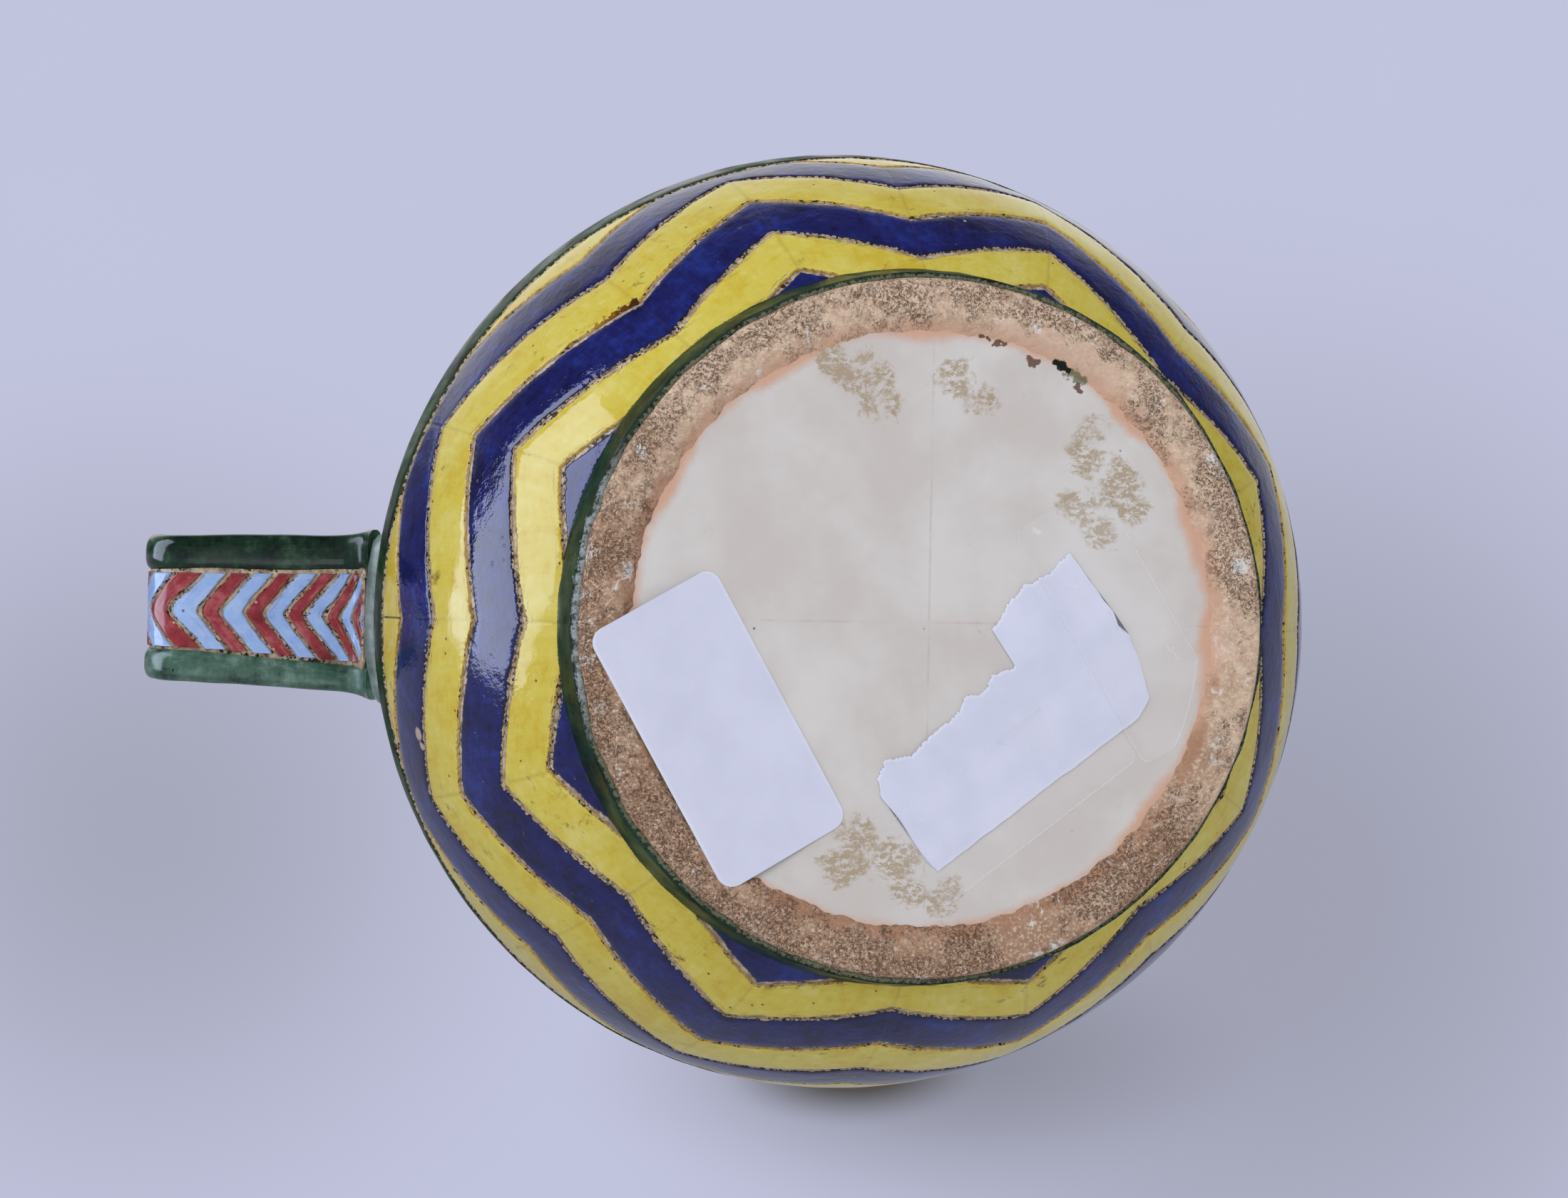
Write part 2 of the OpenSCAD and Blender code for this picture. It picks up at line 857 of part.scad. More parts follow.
// A sheet with three cut sides and one torn side, which steps in from the wide end to the narrow one
module note_outline() {
    teeth = 12;
    tear = (note_w - note_narrow) / 7;
    wide = note_w / 2;
    narrow = note_narrow - wide;
    torn = [for (k = [0 : teeth])
        [note_l * (k / teeth - 0.5), (k < note_step * teeth ? wide : narrow) - tear * (k % 2)]];
    polygon(concat([[note_l / 2, -wide], [-note_l / 2, -wide]], torn));
}

module paper_note() {
    color(PAPER)
    note_place() translate([0, 0, -paper_t]) linear_extrude(height = paper_t) note_outline();
}

// Two strips of tape: one along the note's straight side, the other across its wide end
module tape_outline() {
    translate([note_l / 2 + tape_past - tape_l / 2, tape_w * (0.5 - tape_share) - note_w / 2])
        round_oblong(tape_l, tape_w, label_round);
    translate([-note_l / 2, 0]) rotate(tape_turn) round_oblong(tape_w, tape_cross, label_round);
}

module clear_tape() {
    sheet = paper_t + tape_t;
    color(TAPE, 0.4)
    difference() {
        intersection() {
            note_place() translate([0, 0, -sheet]) linear_extrude(height = sheet) tape_outline();
            cylinder(r = recess_r - recess_d, h = foot_h);
        }
        paper_note();
        under_label(far);
    }
}

foot_ring();
foot_glaze();
base_slab();
base_glaze();
lower_bowl();
shoulder();
neck();
neck_bead();
rim_bead();
collar_glaze();
pouring_lip();
inner_glaze();
belly_band();
lower_blue_points();
lower_yellow_inner();
lower_blue_inner();
lower_yellow_outer();
lower_blue_outer();
lower_yellow_points();
upper_yellow_points();
upper_blue_outer();
upper_yellow_outer();
upper_blue_inner();
upper_yellow_inner();
upper_blue_points();
neck_red_foot();
neck_blue_lower();
neck_red_middle();
neck_blue_upper();
neck_red_top();
handle_strap();
handle_rib_left();
handle_rib_right();
handle_root_lower();
handle_root_upper();
handle_red_chevrons();
handle_blue_chevrons();
paper_label();
paper_note();
clear_tape();
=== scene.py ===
from math import acos, asin, cos, degrees, pi, radians, sin, sqrt

import bpy
import numpy as np
from mathutils import Matrix, Vector, noise


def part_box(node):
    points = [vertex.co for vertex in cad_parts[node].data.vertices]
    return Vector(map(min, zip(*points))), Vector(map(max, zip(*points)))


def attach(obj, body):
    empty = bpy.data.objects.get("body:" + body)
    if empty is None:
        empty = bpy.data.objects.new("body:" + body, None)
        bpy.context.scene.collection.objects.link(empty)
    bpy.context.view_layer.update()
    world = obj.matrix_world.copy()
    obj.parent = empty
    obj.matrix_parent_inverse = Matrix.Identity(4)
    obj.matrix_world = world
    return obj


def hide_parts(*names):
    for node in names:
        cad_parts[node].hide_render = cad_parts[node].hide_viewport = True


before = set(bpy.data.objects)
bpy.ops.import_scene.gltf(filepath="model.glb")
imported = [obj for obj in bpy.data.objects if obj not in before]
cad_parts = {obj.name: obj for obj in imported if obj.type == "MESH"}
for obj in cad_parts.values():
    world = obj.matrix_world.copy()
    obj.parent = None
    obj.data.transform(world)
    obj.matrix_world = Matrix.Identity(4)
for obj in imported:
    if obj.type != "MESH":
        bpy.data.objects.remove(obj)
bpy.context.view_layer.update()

# A hand-made glazed jug, seen from below: glaze fields with rounded edges on a clay body, a ribbed strap
# handle, a rough foot ring, and blank papers under the base. Lengths are in millimetres, apart from the
# lamps': the frame's metres are divided by MM, and add_mesh multiplies by it.

MM = 0.001
SCENE = bpy.context.scene


def bottom(node):
    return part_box(node)[0].z / MM


def top(node):
    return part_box(node)[1].z / MM


# Body
GLAZE_T = 0.5
WALL = 6
BALL_R = 93.5
DOME_R = 62
BAND_BELOW = 8
BAND_ABOVE = 3
BAND_T = 0.6
LINE_W = 0.95
FOOT_R = 64
FOOT_TOP_R = 65.6
FOOT_GLAZE_T = 1.0
RECESS_R = 54
BEVEL_R = 58
FOOT_H = top("foot_glaze")
RECESS_D = bottom("base_glaze")
BASE_Z = top("base_glaze")
FLOOR_Z = bottom("inner_glaze")
BELLY_Z = bottom("shoulder")
BALL_Z = FOOT_H + sqrt(BALL_R ** 2 - FOOT_TOP_R ** 2)
BELLY_R = sqrt(BALL_R ** 2 - (BALL_Z - BELLY_Z) ** 2)
DOME_C = BELLY_R - DOME_R

# Neck, rim and lip
NECK_R = 52
NECK_WALL = 5
NECK_Z = bottom("neck")
NECK_TOP = top("neck")
RIM_TOP = top("rim_bead")
FLARE_H = 12
FLARE_R = 26
FLARE_Z = NECK_TOP - FLARE_H
FLARE_C = NECK_R + FLARE_R
BEAD_R = 3.2
BEAD_AT = (NECK_R + BEAD_R / 2, NECK_Z + BEAD_R / 2)
LIP_FOOT_Z = RIM_TOP - 42
LIP_HALF = radians(30)
LIP_GLAZE_T = 0.9

# Handle
RIB_DEPTH = 2.7
STRAP_HALF = 2.3
STRAP_FACE = 1.7
HANDLE_HALF_W = 14.5
FIELD_HALF_W = 7.6
ROOT_Z = (bottom("handle_root_lower") + top("handle_root_lower")) / 2
ARM_Z = (bottom("handle_root_upper") + top("handle_root_upper")) / 2
OUTER_RHO = -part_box("handle_rib_left")[0].x / MM - RIB_DEPTH
BODY_RHO = DOME_C + sqrt(DOME_R ** 2 - (ROOT_Z - BELLY_Z) ** 2) + GLAZE_T
STRAP_RHO = BODY_RHO - 0.3
LOWER_ARM_Z = ROOT_Z + 12
ROOT_RUN = 0.5
ROOT_BEND = 6.5
HANDLE_START_Z = LOWER_ARM_Z - ROOT_BEND - ROOT_RUN
HANDLE_LEAN = 0.05
ELBOW_BEND = 7
TOP_BEND = 34
BAR_R = 5.4
CHEVRON_PITCH, CHEVRON_GROWTH, CHEVRONS_GROWN = 6.1, 0.31, 6
CHEVRON_SLANT, CHEVRON_TIP_R = 0.84, 0.8
CHEVRON_LINE = 0.5
RED_SHARE = 0.48
# What the lower arm adds to the handle's half width and the field's, and what each root adds over a short run
ARM_SPREAD, FIELD_SPREAD = 1.3, 1.7
ROOT_SPREAD, END_SPREAD, SPREAD_RUN = 1.2, 2, 6
# How far the handle strays to the side, and the field from its middle, there and on the lower arm
HANDLE_STRAY, FIELD_STRAY, ARM_FIELD_STRAY = -0.7, 0.3, 0.6
# Where the field starts in its middle, how much later at its sides, and how far before the end it stops
FIELD_START, FIELD_START_LAG, FIELD_START_HALF_W = 0.6, 3, 9
FIELD_STOP = 4

# Papers
LABEL_L, LABEL_W, LABEL_ROUND = 53, 26.5, 3
LABEL_AT, LABEL_ANGLE = (-38.2, 18.6), radians(60.5)
NOTE_L = 55
NOTE_AT, NOTE_ANGLE = (15.3, 15.1), radians(143)
# The note's torn side and its worn one, as places along and across it
TORN_SIDE = ((-27.5, 16.6), (-22, 15.9), (-15, 16.5), (-9.4, 14.3), (-7, 13.8), (-6.6, 5.7), (-2, 6.6),
             (2, 5.1), (4, 6.5), (8, 5), (12.6, 4.7), (19, 4.2), (23.4, 6.3), (26.6, 4.4), (27.5, 2.5))
WORN_SIDE = ((-27.5, -3), (-26.6, -8), (-24.1, -14.3), (-20, -16.2), (27.5, -16.2))
TAPE_W, TAPE_ROUND, TAPE_T = 19, 2, 0.05
TAPE_ALONG_L, TAPE_ALONG_AT = 46.5, (7.6, -12.8)
TAPE_CROSS_L, TAPE_CROSS_TURN = 50, radians(95.5)
TAPE_REACH = RECESS_R - 1.6
PAPER_T = 0.15


# Smooth noise that is the same in every run

def ring_noise(theta, seed, low, high, terms=14):
    """About -1 to 1, with low to high waves in a turn round the axis."""
    rng = np.random.RandomState(seed)
    waves = rng.randint(low, high + 1, terms)
    phases = rng.uniform(0, 2 * pi, terms)
    return sum(np.sin(w * theta + p) for w, p in zip(waves, phases)) / sqrt(terms)


def ripple(x, y, seed, short, long, terms=16):
    """About -1 to 1 over a plane, with wavelengths from short to long."""
    rng = np.random.RandomState(seed)
    total = 0
    for _ in range(terms):
        wave = 2 * pi / rng.uniform(short, long)
        turn = rng.uniform(0, 2 * pi)
        phase = rng.uniform(0, 2 * pi)
        total = total + np.sin(wave * (x * cos(turn) + y * sin(turn)) + phase)
    return total / sqrt(terms)


def smooth(t):
    t = np.clip(t, 0, 1)
    return t * t * (3 - 2 * t)


# Meshes, as points, faces and attributes of the points

FAR_FROM_EDGE = 9


def loop_mesh(grid, wrap, **attributes):
    """A closed mesh from rows of points, each row a loop. Without wrap its two ends are capped."""
    rows, cols = grid.shape[:2]
    row, col = np.meshgrid(np.arange(rows if wrap else rows - 1), np.arange(cols), indexing="ij")
    start, after, side = row * cols, (row + 1) % rows * cols, (col + 1) % cols
    faces = np.stack([start + col, start + side, after + side, after + col], -1).reshape(-1, 4).tolist()
    if not wrap:
        faces.append(list(range(cols)))
        faces.append(list(range(rows * cols - 1, (rows - 1) * cols - 1, -1)))
    spread = {key: np.broadcast_to(values, (rows, cols)).ravel() for key, values in attributes.items()}
    return grid.reshape(-1, 3), faces, spread


def join_meshes(meshes):
    points, faces, attributes, start = [], [], {}, 0
    for some_points, some_faces, some_attributes in meshes:
        points.append(some_points)
        faces += [[i + start for i in face] for face in some_faces]
        for key, values in some_attributes.items():
            attributes.setdefault(key, []).append(values)
        start += len(some_points)
    return np.concatenate(points), faces, {key: np.concatenate(v) for key, v in attributes.items()}


def signed_volume(points, faces):
    a, b, c, d = points[np.array([face for face in faces if len(face) == 4])].transpose(1, 0, 2)
    return (a * (np.cross(b, c) + np.cross(c, d))).sum()


def add_object(name, data):
    thing = bpy.data.objects.new(name, data)
    SCENE.collection.objects.link(thing)
    return thing


def add_mesh(name, points, faces, finish):
    mesh = bpy.data.meshes.new(name)
    mesh.from_pydata((np.array(points) * MM).tolist(), [], faces)
    mesh.materials.append(finish.material)
    return add_object(name, mesh)


def make_piece(name, mesh_data, finish, *nodes):
    """A smooth piece of the jug that stands for the nodes."""
    points, faces, attributes = mesh_data
    if signed_volume(points, faces) < 0:
        faces = [face[::-1] for face in faces]
    piece = add_mesh(name, points, faces, finish)
    for key, values in attributes.items():
        layer = piece.data.attributes.new(key, "FLOAT", "POINT")
        layer.data.foreach_set("value", np.asarray(values, np.float32))
    piece.data.polygons.foreach_set("use_smooth", [True] * len(faces))
    piece.data.update()
    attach(piece, "root")
    if nodes:
        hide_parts(*nodes)
    return piece


# Places on the jug: those with an h take arrays and give points, h out from the clay

def turned(x, y, angle):
    """x and y turned about the origin."""
    c, s = cos(angle), sin(angle)
    return x * c - y * s, x * s + y * c


def round_axis(theta, r, z):
    return np.stack(np.broadcast_arrays(r * np.cos(theta), r * np.sin(theta), z + 0 * theta), -1)


def on_ball(theta, alpha, h):
    """alpha is in degrees up from the foot, at the ball's centre."""
    a = np.radians(alpha)
    return round_axis(theta, (BALL_R + h) * np.sin(a), BALL_Z - (BALL_R + h) * np.cos(a))


def on_dome(theta, beta, h):
    """beta is in degrees up from the belly, at the shoulder arc's centre."""
    b = np.radians(beta)
    return round_axis(theta, DOME_C + (DOME_R + h) * np.cos(b), BELLY_Z + (DOME_R + h) * np.sin(b))


def on_belly(theta, z, h):
    """The band where ball and dome meet."""
    up, down = np.maximum(z - BELLY_Z, 0), np.minimum(z, BELLY_Z) - BALL_Z
    r = np.where(z > BELLY_Z, DOME_C + np.sqrt(DOME_R ** 2 - up ** 2), np.sqrt(BALL_R ** 2 - down ** 2))
    return round_axis(theta, r + h, z)


def neck_wall_r(z, inwards=0):
    """The neck's outer radius, or that of a face inwards of it."""
    flare = np.clip(z - FLARE_Z, 0, FLARE_H)
    return FLARE_C - np.sqrt((FLARE_R + inwards) ** 2 - flare ** 2)


RIM_OUT, RIM_IN = neck_wall_r(NECK_TOP), neck_wall_r(NECK_TOP, NECK_WALL)
LIP_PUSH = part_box("pouring_lip")[1].x / MM - RIM_OUT


def lip_push(theta, z):
    """How far the poured lip is drawn out of the neck."""
    turn = np.abs((theta + pi) % (2 * pi) - pi)
    rise = np.clip((z - LIP_FOOT_Z) / (RIM_TOP - LIP_FOOT_Z), 0, 1)
    return LIP_PUSH * rise ** 1.5 * smooth(1 - turn / LIP_HALF) ** 1.25


def on_neck(theta, z, h):
    return round_axis(theta, neck_wall_r(z) + lip_push(theta, z) + h, z)


def foot_wall_r(z):
    return FOOT_R + (FOOT_TOP_R - FOOT_R) * z / FOOT_H


def on_foot(theta, z, h):
    return round_axis(theta, foot_wall_r(z) + h, z)


# Zigzag lines

POINTS = 8
# How far the corners of the hand-drawn lines stray from their even places, in degrees round and up the ball
CORNER_TURNS = (0, 1.2, 5.0, 3.9, 1.0, -0.9, 0.5, 0, 0, 4.0, 4.1, 2.1, 1.1, 0, 0.6, 0.2)
CORNER_RISES = (-0.3, -0.6, -0.7, -0.5, -0.1, 0.2, 0.2, -0.3, 0, 0, -0.3, 0.1, 0, -0.2, -0.6, -1.0)
# A line's low corners and how far its high ones rise, in degrees up the ball, and what each next line adds
LINE_LOW, LINE_STEP, LINE_STEP_GROWTH = 41, 7.3, 0.19
LINE_RISE, LINE_RISE_GROWTH = 7.7, 0.8
LINE_LEAN, LINE_LEAN_AT = 2.2, radians(150)
BAND_LEAN, BAND_LEAN_AT = 3.6, radians(108)
BODY_LINES = range(5)
TICK_LINE, TICK_HALF = 2, 0.5
COLUMNS = 2048
DOME_FIRST = degrees(asin(BAND_ABOVE / DOME_R))
DOME_STEP, DOME_RISE, DOME_END = 12, 12.5, 67.2
NECK_LINES = range(4)
NECK_POINTS, NECK_ZIG = 24, 3.4
NECK_LOW = BEAD_AT[1] + BEAD_R + LINE_W / 2
NECK_HIGH = FLARE_Z - LINE_W / 2


def columns(count):
    return pi + np.arange(count) * 2 * pi / count


THETA = columns(COLUMNS)


def ball_corners(line):
    """Turn and angle up of a line's corners, which are low and high by turns."""
    rng = np.random.RandomState(100 + line)
    k = np.arange(2 * POINTS)
    turn = pi + k * pi / POINTS + np.radians(CORNER_TURNS + rng.uniform(-0.3, 0.3, len(k)))
    low = LINE_LOW + LINE_STEP * line + LINE_STEP_GROWTH * line ** 2
    rise = LINE_RISE + LINE_RISE_GROWTH * line
    alpha = low + np.where(k % 2 == 1, rise, 0) + CORNER_RISES + rng.uniform(-0.15, 0.15, len(k))
    return turn, alpha + LINE_LEAN * np.cos(turn - LINE_LEAN_AT)


def ball_line(line):
    """Angle up the ball along a zigzag of straight scratches."""
    turn, alpha = ball_corners(line)
    turn = np.append(turn, turn[0] + 2 * pi)
    a = np.radians(np.append(alpha, alpha[0]))
    t = (THETA - turn[0]) % (2 * pi) + turn[0]
    k = np.clip(np.searchsorted(turn, t, "right") - 1, 0, len(turn) - 2)
    corner = np.stack([np.sin(a) * np.cos(turn), np.sin(a) * np.sin(turn), -np.cos(a)], -1)
    n = np.cross(corner[k], corner[k + 1])
    return np.degrees(np.arctan2(n[:, 2], n[:, 0] * np.cos(t) + n[:, 1] * np.sin(t)) % pi)


def band_edge():
    """Angle up the ball of the green band's lower edge."""
    middle = degrees(acos((BALL_Z - (BELLY_Z - BAND_BELOW)) / BALL_R))
    return middle + BAND_LEAN * np.cos(THETA - BAND_LEAN_AT) + 0.25 * ring_noise(THETA, 5, 3, 9)


def zigzag(count, even, odd, seed, jitter):
    """Straight stretches between corners at the values even and odd by turns."""
    rng = np.random.RandomState(seed)
    k = np.arange(2 * count)
    turn = pi + k * pi / count
    value = np.where(k % 2 == 0, even, odd) + rng.uniform(-jitter, jitter, len(k))
    return np.interp(THETA, np.append(turn, turn[0] + 2 * pi), np.append(value, value[0]))


def dome_line(line):
    low = DOME_FIRST + DOME_STEP * line
    return zigzag(POINTS, low + DOME_RISE, low, 200 + line, 0.4)


def neck_line(line):
    middle = NECK_LOW + (NECK_HIGH - NECK_LOW) * (line + 1) / 5
    return zigzag(NECK_POINTS, middle - NECK_ZIG, middle + NECK_ZIG, 300 + line, 0.3)


def tick_marks(points):
    """1 on the faint guide lines up the jug through the corners, 0 from TICK_HALF away."""
    theta, r = np.arctan2(points[:, 1], points[:, 0])[:, None], np.hypot(points[:, 0], points[:, 1])
    off = (theta - ball_corners(TICK_LINE)[0][None, :] + pi) % (2 * pi) - pi
    return np.clip(1 - np.abs(off).min(1) * r / TICK_HALF, 0, 1)


# Glaze fields: raised coats with rounded, slightly ragged edges

EDGE = 0.6
SINK = 0.12
EDGE_STEPS = ((0.0, None), (0.03, 0.30), (0.16, 0.62), (0.42, 0.86), (1.0, 1.0))
INNER_ROWS = 7
UNDER_ROWS = 3
LEAST_W = 0.12


def field_rows(width, thickness):
    """Places across a field of such widths, and their heights."""
    edge = np.minimum(EDGE, width / 2.6)
    rise = [-SINK if height is None else height * thickness for _, height in EDGE_STEPS]
    across = [edge * share for share, _ in EDGE_STEPS]
    across += [edge + (width - 2 * edge) * k / INNER_ROWS for k in range(1, INNER_ROWS)]
    across += [width - edge * share for share, _ in reversed(EDGE_STEPS)]
    across += [width * (1 - k / (UNDER_ROWS + 1)) for k in range(1, UNDER_ROWS + 1)]
    heights = rise + [thickness] * (INNER_ROWS - 1) + rise[::-1] + [-SINK] * UNDER_ROWS
    return np.stack(across, -1), np.array(heights)[None, :]


def field_mesh(place, u, low, high, seed, thickness=GLAZE_T, unit=1.0, along=None, wrap=False):
    """A raised coat over the columns u, between borders whose steps are unit long."""
    width = (high - low) * unit
    across, heights = field_rows(width, thickness)
    along = (u if along is None else along)[:, None]
    v = low[:, None] + across / unit
    swell = ripple(along, across, seed, 5, 14) * 0.05 * thickness
    h = heights + np.where(heights >= thickness, swell, 0)
    edge = np.minimum(across, width[:, None] - across)
    return loop_mesh(place(u[:, None] + 0 * v, v, h), wrap, along=along, across=across, edge=edge)


def runs_of(wide):
    """Start and end of each run of true values."""
    padded = np.concatenate([[False], wide, [False]])
    starts = np.flatnonzero(padded[1:] & ~padded[:-1])
    ends = np.flatnonzero(~padded[1:] & padded[:-1])
    return [(a, b) for a, b in zip(starts, ends) if b - a > 3]


def ragged(seed, size=0.13):
    """How far a border strays from its line."""
    return size * (ring_noise(THETA, seed, 20, 90) + 0.9 * ring_noise(THETA, seed + 1, 150, 620))


def field(name, place, low, high, unit, radius, seed, finish, node, thickness=GLAZE_T):
    """A glaze field round the jug, wherever its borders leave room."""
    low = low + ragged(seed) / unit
    high = high + ragged(seed + 7) / unit
    along = THETA * radius
    wide = (high - low) * unit > LEAST_W
    meshes = []
    for a, b in runs_of(wide):
        meshes.append(field_mesh(place, THETA[a:b], low[a:b], high[a:b], seed + a, thickness, unit,
                                 along[a:b], wide.all()))
    data = join_meshes(meshes)
    data[2]["tick"] = tick_marks(data[0])
    make_piece(name, data, finish, node)


# Node materials

def srgb(colour):
    """A screen colour, 0 to 255, as the linear colour that a shader takes."""
    def linear(c):
        c = c / 255
        return c / 12.92 if c <= 0.04045 else ((c + 0.055) / 1.055) ** 2.4
    return (*map(linear, colour), 1.0)


def math_node(operation):
    """A method that adds a Math node for an output and another, or a number."""
    def method(wire, other=0.0):
        return wire.tree.put("Math", {0: wire, 1: other}, operation=operation)
    return method


class Wire:
    """A node's output; sums with it and its methods add further nodes."""
    __add__, __sub__, __mul__ = math_node("ADD"), math_node("SUBTRACT"), math_node("MULTIPLY")
    larger, absolute = math_node("MAXIMUM"), math_node("ABSOLUTE")

    def __init__(self, tree, node, output):
        self.tree, self.node, self.output = tree, node, output

    def other(self, output):
        return Wire(self.tree, self.node, output)

    def vector(self, operation, other):
        output = "Value" if operation in ("DISTANCE", "DOT_PRODUCT") else "Vector"
        return self.tree.put("VectorMath", {0: self, 1: other}, output, operation=operation)

    def away_from(self, x=0, y=0):
        """Distance from x and y, seen along the jug's axis."""
        return self.vector("MULTIPLY", (1, 1, 0)).vector("DISTANCE", (x, y, 0))

    def step(self, start, end, high=1.0, low=0.0):
        """low up to start, high from end on, and a smooth change between."""
        ends = {"Value": self, "From Min": start, "From Max": end, "To Min": low, "To Max": high}
        return self.tree.put("MapRange", ends, interpolation_type="SMOOTHSTEP")

    def mix(self, first, second):
        """The first colour at 0 and the second at 1."""
        a, b = [colour if isinstance(colour, Wire) else srgb(colour) for colour in (first, second)]
        return self.tree.put("Mix", {0: self, 6: a, 7: b}, 2, data_type="RGBA")


class Tree:
    """The nodes of a material or a world."""

    def __init__(self, owner):
        owner.use_nodes = True
        self.tree = owner.node_tree
        self.tree.nodes.clear()

    def put(self, kind, inputs=None, output=0, **settings):
        """A new node's output; its inputs are values or other outputs."""
        node = self.tree.nodes.new("ShaderNode" + kind)
        for key, value in settings.items():
            setattr(node, key, value)
        for key, value in (inputs or {}).items():
            if isinstance(value, Wire):
                self.tree.links.new(value.node.outputs[value.output], node.inputs[key])
            else:
                node.inputs[key].default_value = value
        return Wire(self, node, output)


class Finish(Tree):
    """A material for a slot of the part. Its textures lie on the jug, with scales per metre."""

    def __init__(self, name, slot=None):
        self.material = bpy.data.materials.new(name)
        self.slot = slot
        self.normal = None
        super().__init__(self.material)
        self.jug = self.put("TexCoord", output="Object").vector("MULTIPLY", (1 / MM, 1 / MM, 1 / MM))

    def attribute(self, name):
        return self.put("Attribute", output="Fac", attribute_name=name)

    def clouds(self, scale, detail=3.0, roughness=0.55, distortion=0.0, on=None):
        look = {"Scale": scale * MM, "Detail": detail, "Roughness": roughness, "Distortion": distortion}
        return self.put("TexNoise", {"Vector": on or self.jug, "Lacunarity": 2.13, **look}, "Fac")

    def strokes(self, along, across, *look):
        """Clouds with scales of their own along and across a glaze field."""
        sides = {"X": self.attribute("along") * along, "Y": self.attribute("across") * across}
        return self.clouds(1.0, *look, on=self.put("CombineXYZ", sides))

    def pits(self, scale, share, size):
        """1 inside small pits in a share of scattered cells."""
        distance = self.put("TexVoronoi", {"Vector": self.jug, "Scale": scale * MM}, "Distance")
        draw = self.put("SeparateColor", {0: distance.other("Color")})
        return draw.step(1 - share, 1 - share + 0.02) * distance.step(size, size * 0.6)

    def spots(self, spots, on=None):
        """1 in the middle of each round spot on the base, 0 beyond its reach."""
        most = 0.0
        for x, y, reach in spots:
            away = (on or self.jug).vector("DISTANCE", (x, y, RECESS_D))
            most = away.step(reach, 0.25 * reach).larger(most)
        return most

    def bump(self, height, distance, strength):
        """Adds a relief that is distance high, in millimetres."""
        relief = {"Height": height, "Distance": distance * MM, "Strength": strength}
        if self.normal:
            relief["Normal"] = self.normal
        self.normal = self.put("Bump", relief)

    def done(self, colour, roughness, more=None):
        look = {"Base Color": colour, "Roughness": roughness, "Normal": self.normal, **(more or {})}
        self.put("OutputMaterial", {"Surface": self.put("BsdfPrincipled", look)})
        return self


def layered(colour, *layers):
    """A colour with others laid over it one by one, each where its mask is 1."""
    for mask, tint in layers:
        colour = mask.mix(colour, tint)
    return colour


# Glazes

BARE = (184, 165, 136)
GREEN_RIM = (52, 62, 44)
# Faults on the ball: place, reach, hollow middle, raggedness and colour
BLUE_MARKS = (((-86.8, 22.1, 50.9), 1.6, 0, 1.2, (178, 158, 146)),
              ((-86.1, 24.4, 50.7), 1.1, 0, 1.2, (178, 158, 146)),
              ((12.3, -76.8, 25.9), 0.62, 0.25, 0, (216, 214, 218)),
              ((8.1, -71.8, 18.5), 0.5, 0.22, 0, (216, 214, 218)))
YELLOW_MARKS = (((-56.6, -55, 26.7), 2.4, 0, 9, (160, 122, 36)),
                ((-54.6, -56.5, 26.3), 2.2, 0, 8, (126, 84, 24)),
                ((-52.8, -58.1, 26.1), 1.9, 0, 6, (96, 58, 18)),
                ((-51.2, -59.6, 26.1), 1.2, 0, 4, (70, 40, 16)))


def mark_layers(m, marks):
    stray = m.clouds(700, 5, 0.7) - 0.5
    for place, reach, middle, rag, tint in marks:
        away = m.jug.vector("DISTANCE", place) + stray * rag
        part = away.step(reach, 0.7 * reach)
        if middle:
            part = part * away.step(0.6 * middle, middle)
        yield part, tint


def brushed_tone(m):
    """Uneven thickness of a brushed coat: strokes both ways, drifts and fine mottling."""
    strokes = m.strokes(90, 700, 5, 0.65, 0.6) * 0.14 + m.strokes(800, 90, 3, 0.6, 0.3) * 0.14
    return strokes + m.clouds(85, 5, 0.6) * 0.46 + m.clouds(430, 4, 0.6) * 0.26


def edge_layers(m, edge, rim, bare):
    """Thin edges: a tinted rim, dark grains and ragged bare clay."""
    thin = (edge - m.clouds(800) * 0.8).step(0.2, -0.25)
    grains = m.clouds(1000, 2, 0.5).step(0.53, 0.6) * edge.step(0.55, 0.3)
    grains = grains * m.clouds(60, 2).step(0.36, 0.55)
    chipped = (edge - m.clouds(1200, 4, 0.65) * 1.3).step(-0.5, -0.6)
    return (thin, rim), (grains, (30, 24, 20)), (chipped, bare)


def crawled_strip(m):
    """1 on one side's strip next to the foot, where the coat has drawn back from the clay."""
    side = m.jug.vector("DOT_PRODUCT", (-0.996, -0.087, 0)).step(58, 63.5)
    high = (m.attribute("across") + m.clouds(420, 6, 0.78) * 10).step(6.1, 5.7)
    return side * high * m.clouds(700, 5, 0.75).step(0.42, 0.54, low=0.1)


